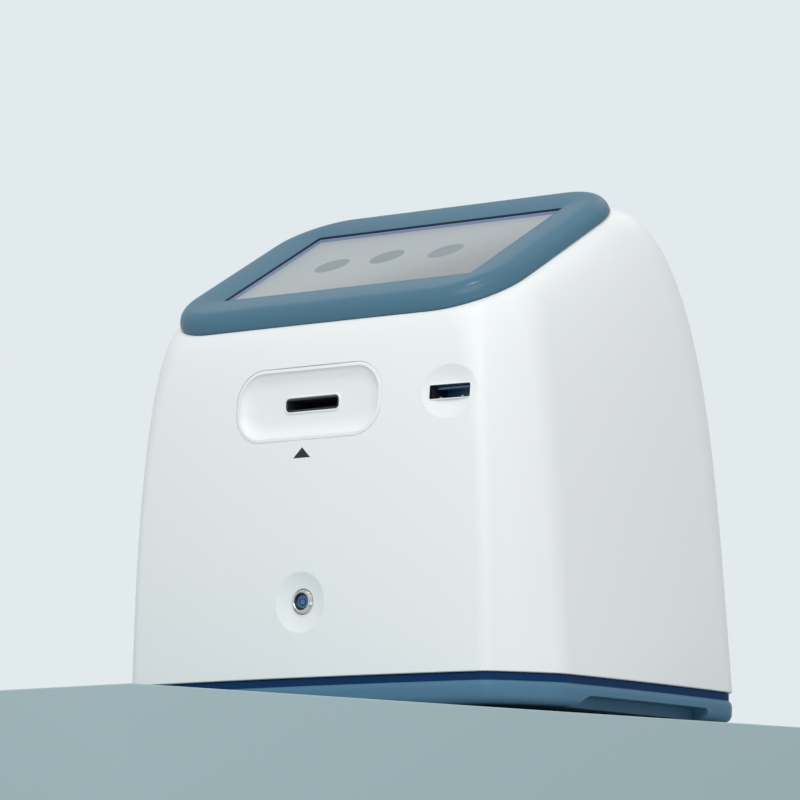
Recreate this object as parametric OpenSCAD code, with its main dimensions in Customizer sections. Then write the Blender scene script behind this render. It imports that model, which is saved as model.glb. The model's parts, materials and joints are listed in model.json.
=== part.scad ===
// Bench-top automated cell counter: a moulded housing with a tilted touch screen,
// a chamber port, a wide service socket and a lit push button at the front, and a
// focusing microscope on a stage inside.
// +Z is up, the front faces -Y, and the origin is on the table under the centre.

/* [Housing] */
// Width of the housing at its widest
body_w = 270; // [262:1:280]
// Depth of the housing
body_d = 208; // [204:1:216]
// Height of the housing's lower edge above the table
shell_z = 19; // [18.5:0.5:22]
// Wall thickness of the housing
wall = 2.6; // [2.2:0.1:3]
// How far the front face falls back towards its corners
front_sweep = 6; // [3:0.5:9]
// How far the back face falls back towards its corners
back_sweep = 3; // [1:0.5:6]
// Outward bow of each side face
side_bow = 2; // [1:0.25:3]
// Width of each slanted front corner, seen from the front
corner_w = 23; // [18:1:28]
// Depth of each slanted front corner, seen from the side
corner_d = 33; // [28:1:38]
// Radius where the front turns into the slanted corner
front_turn_r = 11; // [8:1:14]
// Radius where the slanted corner turns into the side
side_turn_r = 22; // [18:1:26]
// Radius of the back corners
back_turn_r = 21; // [18:1:28]
// Roundness of the shoulder under the screen frame
shoulder = 2.5; // [2.2:0.1:3]

/* [Screen] */
// Width of the screen window
screen_w = 156; // [150:1:160]
// Height of the screen window along its slope
screen_h = 92.4; // [88:0.4:96]
// Tilt of the screen from level
screen_tilt = 29.4; // [27:0.2:32]
// Height of the window's centre above the table
screen_z = 241; // [238:1:248]
// Distance of the window's centre behind the front
screen_in = 76; // [74:1:78]
// Width of the frame beside the window
side_border = 27; // [26:0.5:28]
// Width of the frame above the window
top_border = 27; // [26:0.2:28]
// Width of the frame below the window
low_border = 30.6; // [29:0.2:33]
// Corner radius of the frame
frame_r = 37; // [33:1:40]
// Thickness of the frame
frame_t = 8; // [7.5:0.5:9]
// Width of the frame's rolled outer edge
frame_roll = 8; // [6:0.5:10]
// Rise of the frame's crown above the window's edge
frame_crown = 1.8; // [1:0.2:2.2]
// Thickness of the frame's lip over the glass
lip_t = 1.4; // [1.2:0.1:1.8]
// Thickness of the glass
glass_t = 1.8; // [1.2:0.1:2]
// Thickness of the seal between the lip and the glass
gasket_t = 1.6; // [1.2:0.1:1.8]
// Step of the frame outside the housing's top edge
frame_overhang = 1; // [0.6:0.1:1.4]

/* [Chamber port] */
// Sideways place of the port and the button
port_x = 2; // [0:0.5:3]
// Height of the port's centre above the table
port_z = 155.5; // [152:0.5:158]
// Width of the port plate
port_w = 90; // [86:1:94]
// Height of the port plate
port_h = 37; // [34:0.5:40]
// Corner radius of the port plate
port_r = 16; // [12:0.5:17]
// Width of the slot that the counting chamber enters
slot_w = 33; // [32:0.5:34]
// Height of the slot
slot_h = 6.6; // [6.4:0.1:7]
// Depth of the dish around the slot
port_dish = 5; // [4:0.25:5.5]

/* [Socket] */
// Distance of the socket from the middle of the wall beside the port, towards the side
socket_off = 4.5; // [1.5:0.5:5.5]
// Width of the socket
socket_w = 22.6; // [20:0.2:24]
// Height of the socket
socket_h = 6.6; // [6.4:0.1:7]
// Width of the oval dish around the socket
socket_dish_w = 36; // [34:0.5:38]
// Height of the oval dish
socket_dish_h = 27.6; // [26:0.2:30]

/* [Push button] */
// Height of the button above the table
button_z = 56.5; // [54:0.5:60]
// Diameter of the button's metal flange
button_flange_d = 14; // [13:0.2:15]
// Diameter of the button's cap
button_cap_d = 9.2; // [8.6:0.1:9.4]
// Diameter of the round dish around the button
button_dish_d = 31.6; // [29:0.2:34]
// Travel of the cap
button_travel = 1.2; // [1:0.1:1.5]

/* [Base] */
// Height of the rubber feet
foot_h = 4; // [3:0.5:5]
// Diameter of the rubber feet
foot_d = 16; // [14:1:18]
// Height of the blue base's top edge above the table
base_top = 15; // [14.5:0.25:15.5]
// Thickness of the base's floor
base_floor = 2.5; // [2:0.1:3]
// Thickness of the base's rim
base_rim = 5; // [4.5:0.25:6]
// Inset of the dark ring between the base and the housing
ring_inset = 3.4; // [3.2:0.1:3.8]
// Depth of each hand recess in the base
grip_depth = 9; // [8:0.5:10]
// Length of each hand recess
grip_len = 120; // [110:1:124]

/* [Microscope] */
// Distance of the optical axis in front of the middle
axis_front = 15; // [13:0.5:16]
// Clear width of the chamber channel on the stage
channel_w = 32; // [31:0.25:32.5]
// Diameter of the guide rods
rod_d = 6; // [5:0.5:6]
// Distance between the guide rods
rod_gap = 44; // [42:1:46]
// Diameter of the lead screw
screw_d = 6; // [5:0.5:6]
// Focus travel each way from the middle
focus_travel = 2; // [1.5:0.5:2.5]
// Diameter of the camera tube
tube_d = 22; // [20:1:22]
// Diameter of the objective
objective_d = 20; // [18:1:20]

/* [Cooling and connections] */
// Size of the square fan
fan_size = 50; // [48:1:52]
// Height of the fan's centre above the table
fan_z = 105; // [102:1:108]
// Width of the rear connector panel
rear_panel_w = 96; // [92:1:100]
// Height of the rear connector panel
rear_panel_h = 28; // [26:1:30]
// Width of one louvre slot
vent_w = 2.6; // [2:0.2:3]

/* [Hidden] */

// Small clearances
slip = 0.1;
run_gap = 0.08;
fit_gap = 0.3;
seam = 0.35;
cut = 1;
through = 30;
$fn = 48;

// Screws
m3 = 3;
m3_head = 5.6;
m3_head_h = 2;
m3_hole = m3 + 2 * slip;
m3_core = m3 + 0.4 * slip;
thread_l = 3;

// Plan of the housing
half_w = body_w / 2 - side_bow;
front_y = -body_d / 2;
back_y = body_d / 2;
front_half = half_w - corner_w;
corner_y = front_y + front_sweep;
side_y = corner_y + corner_d;
screen_front = -front_y - screen_in;
boss_h = 34;
web_t = 2;

// Steps round half of the housing: front, front corner, side, back corner, back
n_front = 5;
n_corner = 10;
n_turn = 4;
n_side = 7;
n_back_corner = 7;
n_back = 4;
n_outer = 12;
n_inner = 8;
n_oval = 32;

// Lean and curve of the wall at the front, the side and the back
front_rise = [0, 2.33];
side_rise = [0.39, 3.8];
back_rise = [0.11, 2.9];

// Screen frame, in the plane of the screen
frame_w = screen_w + 2 * side_border;
frame_h = screen_h + top_border + low_border;
frame_mid = (top_border - low_border) / 2;
rebate = 5;
glass_w = screen_w + 2 * rebate;
glass_h = screen_h + 2 * rebate;
panel_w = glass_w - 2;
panel_h = glass_h - 2;
glass_top = -lip_t - gasket_t;
panel_top = glass_top - glass_t;
deck_low = -frame_t - wall;
bracket_t = 1.2;
frame_screw_x = screen_w / 2 + 13;
frame_screw_y = screen_h / 2 + 3.8;
frame_thread = 4.6;
tab_r = 4;

// Front fittings
pad_y = front_y + 12;
socket_pad_y = front_y + 17;
button_pad_y = front_y + 6;
port_face_y = front_y + 3.4;
port_floor_y = port_face_y + port_dish;
flange_t = 2;
flange_side = 6;
flange_edge = 3;
pad_edge = 8;
dish_edge = 4;
port_screw_x = port_w / 2 + 3.6;
slot_r = 1.5;
slot_rim = 1.5;
slot_rise = 0.7;
liner_back_y = pad_y + 17;
nose_wall = 0.9;
liner_wall = 1;
ear_t = 2;
ear_x = slot_w / 2 + 3;
flap_t = 1;
flap_lap = 0.6;
shutter_pin_d = 1.6;
shutter_y = liner_back_y + 1.9;
shutter_z = port_z + slot_h / 2 + 1.8;
socket_face_y = front_y + 9.6;
socket_x = (port_x + port_w / 2 + flange_side + front_half) / 2 + socket_off;
socket_depth = 14;
socket_r = 0.8;
socket_t = 0.4;
socket_board_w = 32;
socket_board_d = 22;
tongue_t = 1;
tongue_gap = 0.3;
tongue_side = 1.6;
tongue_back = 2.4;
socket_turn = 6;
socket_lean = 4;
dish_deep = 3;
button_seat_y = front_y + 3.4;
button_flange_t = 2.6;
button_barrel_d = 12;
button_barrel_l = 22;
button_cap_l = 5;
spring_room = button_travel + 2.8;
button_bore = button_cap_l + spring_room;

// Base
post_top = shell_z + 5;
post_x = front_half + 7;
post_ys = [-38, 68];
post_d = 10;
ring_t = 2.4;
chassis_z = shell_z + 1;
chassis_t = 2.5;
chassis_top = chassis_z + chassis_t;
chassis_w = 132;
chassis_front = -60;
chassis_back = back_y - 11;
chassis_post_x = 50;
chassis_post_ys = [-50, 72];
foot_x = 96;
foot_ys = [-66, 76];
head_sink = 3;
grip_wall = 3;
foot_stud_d = 5;
floor_vent_w = 2.5;
floor_vent_l = 54;
floor_vent_step = 8;
grip_top = base_top - 5.4;
grip_front = -57;
grip_slope = 10.8;
grip_front_r = 14;
grip_back_r = 3;

// Microscope
axis_y = -axis_front;
channel_z = port_z - (slot_h - 2 * nose_wall) / 2;
stage_t = 4.6;
stage_low = channel_z - stage_t;
stage_front = liner_back_y + 13;
column_y = 24;
column_t = 6;
column_w = 68;
column_foot = 24;
column_foot_t = 4;
column_screw_x = 24;
column_screw_y = column_y + 16;
stage_hole_d = 22;
guide_w = 7;
guide_h = 4.8;
rod_y = 8;
motor_size = 28;
motor_top = chassis_top + 33;
bracket_h = 3;
carriage_lift = 45;
plate_w = rod_gap + 16;
lens_room = 15;
rod_room = 6;
boss_d = 22;
carriage_low = motor_top + carriage_lift;
carriage_h = 18;
carriage_top = carriage_low + carriage_h;
rod_bracket_low = carriage_top + 14;
rod_bracket_h = 5;
objective_top = stage_low - focus_travel - 2;
tube_top = carriage_top + 4;
camera_h = 20;
tube_low = carriage_low - 18;
bearing_d = 13;
bush_d = 10;
nut_d = 10;
lamp_z = channel_z + 32;
lamp_d = 28;
lamp_drop = 14;
lamp_t = 5;
condenser_d = 22;

// Rear
board_z = chassis_top + 7.5;
board_t = 1.6;
board_front = 52;
board_back = back_y - 12;
connector_z = board_z + board_t;
rear_panel_z = 42;
rear_pad_y = back_y - 6;
rear_panel_t = 2;
fan_pad_y = back_y - 10;
fan_t = 10.5;
fan_open = fan_size - 4;
fan_hole = fan_size / 2 - 4;
hub_d = 20;
panel_lap = 4;

// Curves and loops
function unit(v) = v / norm(v);
function turned(v, a) = [v.x * cos(a) - v.y * sin(a), v.x * sin(a) + v.y * cos(a)];
function fillet(p, q, s, r, n) =
    let (a = unit(p - q), b = unit(s - q), half = acos(a * b) / 2,
         c = q + unit(a + b) * r / sin(half), v = q + a * r / tan(half) - c)
    [for (i = [0:n]) c + turned(v, (180 - 2 * half) * i / n)];
function bowed(p, q, bow, n) =
    let (d = q - p, out = unit([d.y, -d.x]))
    [for (i = [1:n - 1]) p + d * i / n + out * bow * 4 * (i / n) * (1 - i / n)];
function swept(x_end, y_mid, drop, x_ref, n, from) =
    [for (i = [from:n]) let (x = x_end * i / n) [x, y_mid + drop * pow(x / x_ref, 2)]];
function last(v) = v[len(v) - 1];
function both_sides(h) = concat(h, [for (i = [len(h) - 2:-1:1]) [-h[i].x, h[i].y]]);
function inset(loop, k) =
    let (n = len(loop))
    [for (i = [0:n - 1])
        let (d = unit(loop[(i + 1) % n] - loop[(i + n - 1) % n])) loop[i] + k * [-d.y, d.x]];

// Right half of the housing's lower outline, from the front's middle to the back's middle
function foot_half() =
    let (turn_a = fillet([front_half / 2, front_y], [front_half, corner_y], [half_w, side_y],
                         front_turn_r, n_turn),
         turn_b = fillet([front_half, corner_y], [half_w, side_y], [half_w, back_y],
                         side_turn_r, n_turn),
         turn_c = fillet([half_w, side_y], [half_w, back_y - back_sweep], [half_w / 2, back_y],
                         back_turn_r, n_back_corner),
         front = swept(turn_a[0].x, front_y, front_sweep, front_half, n_front, 0),
         back = swept(last(turn_c).x, back_y, -back_sweep, half_w, n_back, 0))
    concat([for (i = [0:n_front - 1]) front[i]], turn_a,
           bowed(last(turn_a), turn_b[0], 0.8, n_corner - 2 * n_turn), turn_b,
           bowed(last(turn_b), turn_c[0], side_bow, n_side), turn_c,
           [for (i = [n_back - 1:-1:0]) back[i]]);

// Right half of the frame's outline in the screen plane, with the same steps
function seat_half(k) =
    let (hw = frame_w / 2 - k, lo = frame_mid - frame_h / 2 + k, hi = frame_mid + frame_h / 2 - k,
         r = frame_r - k,
         turn_a = fillet([0, lo], [hw, lo], [hw, 0], r, n_corner),
         turn_c = fillet([hw, 0], [hw, hi], [0, hi], r, n_back_corner))
    concat([for (i = [0:n_front - 1]) turn_a[0] * i / n_front + [0, lo] * (1 - i / n_front)],
           turn_a, bowed(last(turn_a), turn_c[0], 0, n_side), turn_c,
           [for (i = [1:n_back]) last(turn_c) * (1 - i / n_back) + [0, hi] * i / n_back]);

foot_loop = both_sides(foot_half());
steps = len(foot_loop);

// Share of the side's and the back's curve at each step
function ease(w) = let (c = min(1, max(0, w))) c * c * (3 - 2 * c);
function along(i) = min(i, steps - i);
function side_share(i) = ease((along(i) - n_front) / n_corner);
function back_share(i) = ease((along(i) - n_front - n_corner - n_side) / n_back_corner);
function rise_at(i) =
    let (s = side_share(i), b = back_share(i), m = front_rise * (1 - s) + side_rise * s)
    m * (1 - b) + back_rise * b;
function leaning(t, rise) =
    rise[0] * t + (1 - rise[0]) * (1 - pow(1 - pow(t, rise[1]), 1 / shoulder));
function level(u) = 1 - pow(1 - u, 1.8);

function in_space(p, off) =
    [p.x, p.y * cos(screen_tilt) - off * sin(screen_tilt) - screen_front,
     p.y * sin(screen_tilt) + off * cos(screen_tilt) + screen_z];

// Rings of the housing's outer or inner skin, from its foot to the seat of the frame
function skin_rings(k, foot_z, off, n) =
    let (lower = inset(foot_loop, k), upper = both_sides(seat_half(frame_overhang + k)))
    [for (j = [0:n]) let (t = level(j / n))
        [for (i = [0:steps - 1])
            let (g = leaning(t, rise_at(i)), top = in_space(upper[i], off))
            [lower[i].x + (top.x - lower[i].x) * g, lower[i].y + (top.y - lower[i].y) * g,
             foot_z + (top.z - foot_z) * t]]];
function flat_ring(loop, z) = [for (p = loop) [p.x, p.y, z]];

// Rounded rectangle as a loop of points, counter-clockwise
function round_loop(w, h, r, n) =
    [for (c = [[1, -1, -90], [1, 1, 0], [-1, 1, 90], [-1, -1, 180]])
        for (i = [0:n]) let (a = c[2] + 90 * i / n)
            [c.x * (w / 2 - r) + r * cos(a), c.y * (h / 2 - r) + r * sin(a)]];

// Ellipse as a loop of points
function oval(w, h, n) = [for (i = [0:n - 1]) let (a = 360 * i / n) [w / 2 * cos(a), h / 2 * sin(a)]];

// Closed solid through a stack of rings with the same number of points. Each end is a
// fan of triangles round its middle, because a tilted end is not flat to the last digit.
module lofted(rings) {
    n = len(rings[0]);
    m = len(rings);
    ones = [for (i = [1:n]) 1];
    polyhedron(
        points = concat([for (ring = rings) each ring], [ones * rings[0] / n, ones * rings[m - 1] / n]),
        faces = [for (i = [0:n - 1]) let (k = (i + 1) % n) each concat(
            [[i, k, m * n], [(m - 1) * n + k, (m - 1) * n + i, m * n + 1]],
            [for (j = [0:m - 2]) each
                [[j * n + i, (j + 1) * n + i, (j + 1) * n + k], [j * n + i, (j + 1) * n + k, j * n + k]]])]);
}

module round_plate(w, h, r, t) {
    linear_extrude(t) {
        square([w - 2 * r, h], center = true);
        square([w, h - 2 * r], center = true);
        for (x = [-1, 1], y = [-1, 1])
            translate([x * (w / 2 - r), y * (h / 2 - r)]) circle(r);
    }
}

module block(size, at) {
    translate([at.x - size.x / 2, at.y, at.z]) cube(size);
}

// Local frames: on the screen, at the port's place, on the front wall and on the back wall,
// with Z pointing out
module on_screen(z) {
    translate([0, -screen_front, screen_z]) rotate([screen_tilt, 0, 0]) translate([0, 0, z]) children();
}

module at_port() {
    translate([port_x, 0, 0]) children();
}

module on_front(x, y, z) {
    translate([x, y, z]) rotate([90, 0, 0]) children();
}

module on_back(x, y, z) {
    translate([x, y, z]) rotate([-90, 0, 0]) children();
}

module tube(od, id, h) {
    difference() {
        cylinder(d = od, h = h);
        translate([0, 0, -cut]) cylinder(d = id, h = h + 2 * cut);
    }
}

module screw(head_d, head_h, shaft_l) {
    difference() {
        union() {
            cylinder(d = head_d, h = head_h);
            translate([0, 0, -shaft_l]) cylinder(d = m3, h = shaft_l + head_h / 2);
        }
        translate([0, 0, head_h / 2]) cylinder(d = m3 * 0.8, h = head_h, $fn = 6);
    }
}

// Housing, its boss columns and its openings
module housing_shell() {
    color("#e9eef1")
    difference() {
        union() {
            difference() {
                lofted(skin_rings(0, shell_z, -frame_t, n_outer));
                difference() {
                    lofted(concat([flat_ring(inset(foot_loop, wall), shell_z - cut)],
                                  skin_rings(wall, shell_z, deck_low, n_inner)));
                    front_pads();
                    rear_pads();
                }
            }
            for (x = [-1, 1], y = post_ys) shell_boss(x, y);
        }
        deck_opening();
        at_port() port_cut();
        socket_cut();
        at_port() button_cut();
        rear_cuts();
        for (x = [-1, 1], y = post_ys)
            translate([x * post_x, y, 0]) cylinder(d = m3_hole, h = post_top + boss_h / 2);
    }
}

module front_pads() {
    block([port_w + 2 * pad_edge, through, port_h + 2 * pad_edge],
          [port_x, pad_y - through, port_z - port_h / 2 - pad_edge]);
    block([socket_dish_w + 2 * dish_edge, through, socket_dish_h + 2 * dish_edge],
          [socket_x, socket_pad_y - through, port_z - socket_dish_h / 2 - dish_edge]);
    block([button_dish_d + 2 * dish_edge, through, button_dish_d + 2 * dish_edge],
          [port_x, button_pad_y - through, button_z - button_dish_d / 2 - dish_edge]);
}

module rear_pads() {
    low = rear_panel_z - rear_panel_h / 2 - 0.75 * panel_lap;
    block([rear_panel_w + 5 * panel_lap, through, rear_panel_h + 2.25 * panel_lap], [0, rear_pad_y, low]);
    block([fan_size + 2 * dish_edge, through, fan_size + 2 * dish_edge],
          [0, fan_pad_y, fan_z - fan_size / 2 - dish_edge]);
}

module shell_boss(x, y) {
    root = half_w - 0.7 * wall;
    translate([x * post_x, y, post_top]) cylinder(d = post_d, h = boss_h);
    translate([x > 0 ? post_x : -root, y - web_t / 2, post_top]) cube([root - post_x, web_t, boss_h]);
}

module deck_opening() {
    on_screen(deck_low - cut) round_plate(panel_w + fit_gap, panel_h + fit_gap, 2, wall + 2 * cut);
    for (x = [-1, 1], y = [-1, 1])
        on_screen(deck_low - cut) translate([x * frame_screw_x, y * frame_screw_y])
            cylinder(d = m3_hole, h = wall + 2 * cut);
}

module port_cut() {
    on_front(0, pad_y + cut, port_z)
        round_plate(port_w + 2 * seam, port_h + 2 * seam, port_r + seam, through);
    for (x = [-1, 1])
        on_front(x * port_screw_x, pad_y + cut, port_z) cylinder(d = m3_core, h = thread_l + 2 * cut);
}

// Oval dish: rings that grow smaller and deeper, turned to follow the wall
module socket_cut() {
    translate([socket_x, socket_face_y, port_z]) rotate([90 - socket_lean, 0, socket_turn])
        lofted([for (q = [0.35, 0.55, 0.75, 0.9, 1, 1.2, 1.4])
            [for (p = oval(socket_dish_w, socket_dish_h, n_oval))
                [p.x * q, p.y * q, dish_deep * q * q]]]);
    on_front(socket_x, socket_pad_y + cut, port_z)
        round_plate(socket_w + 2 * slip, socket_h + 2 * slip, socket_r + slip, through);
}

module button_cut() {
    r = (pow(button_dish_d / 2, 2) + dish_deep * dish_deep) / (2 * dish_deep);
    translate([0, front_y + dish_deep - r, button_z]) sphere(r = r, $fn = 96);
    on_front(0, button_seat_y, button_z) cylinder(d = button_flange_d + 2 * seam, h = through);
    on_front(0, button_pad_y + cut, button_z) cylinder(d = button_barrel_d + 2 * slip, h = through);
}

module rear_cuts() {
    on_back(0, rear_pad_y - cut, rear_panel_z)
        round_plate(rear_panel_w - 2 * panel_lap, rear_panel_h - panel_lap, 3, through);
    for (x = [-1, 1])
        on_back(x * (rear_panel_w / 2), rear_pad_y - cut, rear_panel_z)
            cylinder(d = m3_core, h = thread_l + 2 * cut);
    for (i = [-4:4])
        translate([i * 2 * vent_w - vent_w / 2, fan_pad_y - cut, fan_z - vent_len(i) / 2])
            cube([vent_w, through, vent_len(i)]);
    for (x = [-1, 1], y = [-1, 1])
        on_back(x * fan_hole, fan_pad_y - cut, fan_z + y * fan_hole)
            cylinder(d = m3_core, h = thread_l + 2 * cut);
}

// Height of louvre i, so that the louvres fill a round field
function vent_len(i) = 2 * sqrt(pow(fan_open / 2, 2) - pow(i * 2 * vent_w, 2)) - 1.5 * vent_w;

module shadow_gap_ring() {
    color("#14325e")
    translate([0, 0, base_top]) linear_extrude(post_top - base_top) difference() {
        polygon(inset(foot_loop, ring_inset));
        polygon(inset(foot_loop, ring_inset + ring_t));
    }
}

// Blue base with a rounded rim, hand recesses, posts and floor vents
module base_tray() {
    top = base_top;
    color("#54788f")
    difference() {
        union() {
            difference() {
                lofted([flat_ring(inset(foot_loop, 4), foot_h),
                        flat_ring(inset(foot_loop, 1.6), foot_h + 1.6),
                        flat_ring(inset(foot_loop, 0.4), foot_h + 4),
                        flat_ring(inset(foot_loop, 0.2), top - 3),
                        flat_ring(inset(foot_loop, 0.6), top - 1),
                        flat_ring(inset(foot_loop, 1.4), top)]);
                difference() {
                    translate([0, 0, foot_h + base_floor]) linear_extrude(top)
                        polygon(inset(foot_loop, 1 + base_rim));
                    for (x = [-1, 1])
                        translate([x > 0 ? half_w - grip_depth - grip_wall : -half_w + grip_wall,
                                   grip_front - grip_wall, 0])
                            cube([grip_depth, grip_len + 2 * grip_wall, 2 * top]);
                }
            }
            for (x = [-1, 1], y = post_ys)
                translate([x * post_x, y, foot_h]) cylinder(d = post_d, h = post_top - foot_h);
            for (x = [-1, 1], y = chassis_post_ys)
                translate([x * chassis_post_x, y, foot_h]) cylinder(d = post_d, h = chassis_z - foot_h);
        }
        hand_recesses();
        for (x = [-1, 1], y = post_ys) translate([x * post_x, y, 0]) {
            cylinder(d = m3_hole, h = post_top + cut);
            cylinder(d = m3_head + 2 * fit_gap, h = foot_h + head_sink);
        }
        for (x = [-1, 1], y = chassis_post_ys)
            translate([x * chassis_post_x, y, chassis_z - 2 * thread_l - cut])
                cylinder(d = m3_hole, h = 2 * thread_l + 2 * cut);
        for (x = [-1, 1], y = foot_ys)
            translate([x * foot_x, y, 0])
                cylinder(d = foot_stud_d + 2 * slip, h = foot_h + base_floor + cut);
        for (i = [-5:5]) block([floor_vent_w, floor_vent_l, foot_h + base_floor + cut],
                               [i * floor_vent_step, column_y - 0.9 * floor_vent_l, 0]);
    }
}

// Open below and at the side, with a sloped front end and rounded upper corners
module hand_recesses() {
    far = grip_front + grip_len;
    crest = [grip_front + grip_slope, grip_top];
    for (x = [-1, 1])
        translate([x > 0 ? half_w - grip_depth : -half_w - through, 0, 0])
            rotate([90, 0, 90]) linear_extrude(grip_depth + through)
                polygon(concat([[far, 0]], fillet([far, 0], [far, grip_top], crest, grip_back_r, 6),
                               fillet([far, grip_top], crest, [grip_front, 0], grip_front_r, 6),
                               [[grip_front, 0]]));
}

module rubber_feet() {
    edge = 0.8;
    color("#2b2d30")
    for (x = [-1, 1], y = foot_ys) translate([x * foot_x, y, 0]) {
        cylinder(d1 = foot_d - 2 * edge, d2 = foot_d, h = edge);
        translate([0, 0, edge]) cylinder(d = foot_d, h = foot_h - edge);
        translate([0, 0, foot_h]) cylinder(d = foot_stud_d, h = base_floor);
    }
}

module base_screws() {
    color("#9aa0a4")
    for (x = [-1, 1], y = post_ys)
        translate([x * post_x, y, foot_h + head_sink]) rotate([180, 0, 0])
            screw(m3_head, m3_head_h, post_top + 8 - foot_h - head_sink);
}

// Screen frame with a rolled outer edge and a low crown
function frame_ring(k, z) =
    [for (p = round_loop(frame_w - 2 * k, frame_h - 2 * k, frame_r - k, 8))
        [p.x, p.y + frame_mid, z]];

module screen_bezel() {
    n = 5;
    edge = 0.9;
    rise = frame_t - edge + frame_crown;
    inner = min(side_border, top_border) + 0.15;
    color("#54788f")
    on_screen(0) difference() {
        lofted(concat([frame_ring(edge, -frame_t)],
                      [for (i = [0:n]) let (a = 90 * i / n)
                          frame_ring(frame_roll * (1 - cos(a)), edge - frame_t + rise * sin(a))],
                      [frame_ring((frame_roll + inner) / 2, frame_crown * 0.7),
                       frame_ring(inner, 0)]));
        translate([0, 0, -frame_t - cut]) round_plate(screen_w, screen_h, 1.5, frame_t + 2 * cut);
        translate([0, 0, -frame_t - cut])
            round_plate(glass_w + 4 * slip, glass_h + 4 * slip, 2.2, frame_t + cut - lip_t);
        for (x = [-1, 1], y = [-1, 1]) translate([x * frame_screw_x, y * frame_screw_y, -frame_t - cut])
            cylinder(d = m3_hole, h = frame_thread + cut);
    }
}

module screen_gasket() {
    color("#101114")
    on_screen(glass_top) difference() {
        round_plate(glass_w, glass_h, 2, gasket_t);
        translate([0, 0, -cut]) round_plate(screen_w, screen_h, 1.5, gasket_t + 2 * cut);
    }
}

module touch_glass() {
    color("#b4b8bb")
    on_screen(panel_top) round_plate(glass_w, glass_h, 2, glass_t);
}

module display_panel() {
    color("#8c9196")
    on_screen(deck_low) round_plate(panel_w, panel_h, 1.6, panel_top - deck_low);
}

module display_bracket() {
    color("#b7bcc0")
    on_screen(deck_low - bracket_t) difference() {
        round_plate(2 * (frame_screw_x + 1.25 * tab_r), panel_h + 2 * tab_r, tab_r, bracket_t);
        translate([0, 0, -cut])
            round_plate(panel_w - 6 * tab_r, panel_h - 6 * tab_r, tab_r, bracket_t + 2 * cut);
        for (x = [-1, 1], y = [-1, 1])
            translate([x * frame_screw_x, y * frame_screw_y, -cut])
                cylinder(d = m3_hole, h = bracket_t + 2 * cut);
    }
}

module bezel_screws() {
    color("#9aa0a4")
    for (x = [-1, 1], y = [-1, 1])
        on_screen(deck_low - bracket_t) translate([x * frame_screw_x, y * frame_screw_y, 0])
            rotate([180, 0, 0]) screw(m3_head, m3_head_h, bracket_t + wall + frame_thread - slip);
}

// Port plate: flush with the housing, dished down to a rimmed slot
module port_plate() {
    color("#e9eef1")
    difference() {
        union() {
            intersection() {
                on_front(0, pad_y, port_z) round_plate(port_w, port_h, port_r, through);
                translate([-port_x, 0, 0]) lofted(skin_rings(0, shell_z, -frame_t, n_outer));
            }
            on_front(0, pad_y + flange_t, port_z)
                round_plate(port_w + 2 * flange_side, port_h + 2 * flange_edge,
                            port_r + flange_edge, flange_t);
        }
        difference() {
            port_dish_space();
            on_front(0, port_floor_y, port_z)
                round_plate(slot_w + 2 * slot_rim, slot_h + 2 * slot_rim, slot_r + 0.7 * slot_rim, slot_rise);
        }
        on_front(0, pad_y + flange_t + cut, port_z)
            round_plate(slot_w + 2 * slip, slot_h + 2 * slip, slot_r + slip, through);
        for (x = [-1, 1])
            on_front(x * port_screw_x, pad_y + flange_t + cut, port_z)
                cylinder(d = m3_hole, h = flange_t + 2 * cut);
    }
}

module port_dish_space() {
    n = 4;
    rim = 3;
    sweep = 7;
    lofted([for (i = [0:n])
        let (a = 90 * i / n, k = i == n ? 0.8 * rim : rim + sweep * (1 - sin(a)),
             y = i == n ? port_floor_y - 1.6 * port_dish : port_floor_y - port_dish * (1 - cos(a)))
        [for (p = round_loop(port_w - 2 * k, port_h - 2 * k, port_r - k, 6)) [p.x, y, port_z + p.y]]]);
}

// Black sleeve that leads the chamber from the slot to the stage
module port_liner() {
    seat = pad_y + flange_t;
    collar_t = 1.6;
    ear = [ear_t, 10, 8];
    root = [2.5 * ear_t, 4, 3];
    color("#15171a")
    difference() {
        union() {
            on_front(0, seat, port_z) round_plate(slot_w, slot_h, slot_r, seat - port_floor_y + 2 * slip);
            on_front(0, seat + collar_t, port_z)
                round_plate(slot_w + 2 * flange_side, slot_h + 3 * flange_edge, flange_edge, collar_t);
            on_front(0, liner_back_y, port_z)
                round_plate(slot_w + 2 * liner_wall, slot_h + 2 * liner_wall, 2 * liner_wall,
                            liner_back_y - seat);
            for (x = [-1, 1]) {
                block(ear, [x * (ear_x + ear_t / 2), liner_back_y - 6, shutter_z - 5]);
                block(root, [x * (ear_x + ear_t - root.x / 2 - liner_wall), liner_back_y - 6, shutter_z - 5]);
            }
        }
        on_front(0, liner_back_y + cut, port_z)
            round_plate(slot_w - 2 * nose_wall, slot_h - 2 * nose_wall, slot_r - 0.7, 2 * through);
        translate([-slot_w, shutter_y, shutter_z]) rotate([0, 90, 0])
            cylinder(d = shutter_pin_d, h = 2 * slot_w);
    }
}

module port_screws() {
    color("#9aa0a4")
    for (x = [-1, 1])
        on_back(x * port_screw_x, pad_y + flange_t, port_z)
            screw(m3_head, m3_head_h, flange_t + thread_l);
}

// Flap that keeps light and dust out until the chamber pushes it up
module shutter_flap() {
    w = slot_w + 2 * liner_wall;
    low = port_z - slot_h / 2 - flap_lap;
    spring_gap = [7, 4, 4];
    color("#1c1e21")
    difference() {
        union() {
            translate([-w / 2, shutter_y, shutter_z]) rotate([0, 90, 0]) cylinder(d = 3 * flap_t, h = w);
            translate([-w / 2, liner_back_y + fit_gap, low]) cube([w, flap_t, shutter_z - low]);
        }
        translate([-slot_w, shutter_y, shutter_z]) rotate([0, 90, 0])
            cylinder(d = shutter_pin_d + 2 * run_gap, h = 2 * slot_w);
        translate([0, shutter_y, shutter_z]) cube(spring_gap, center = true);
    }
}

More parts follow.
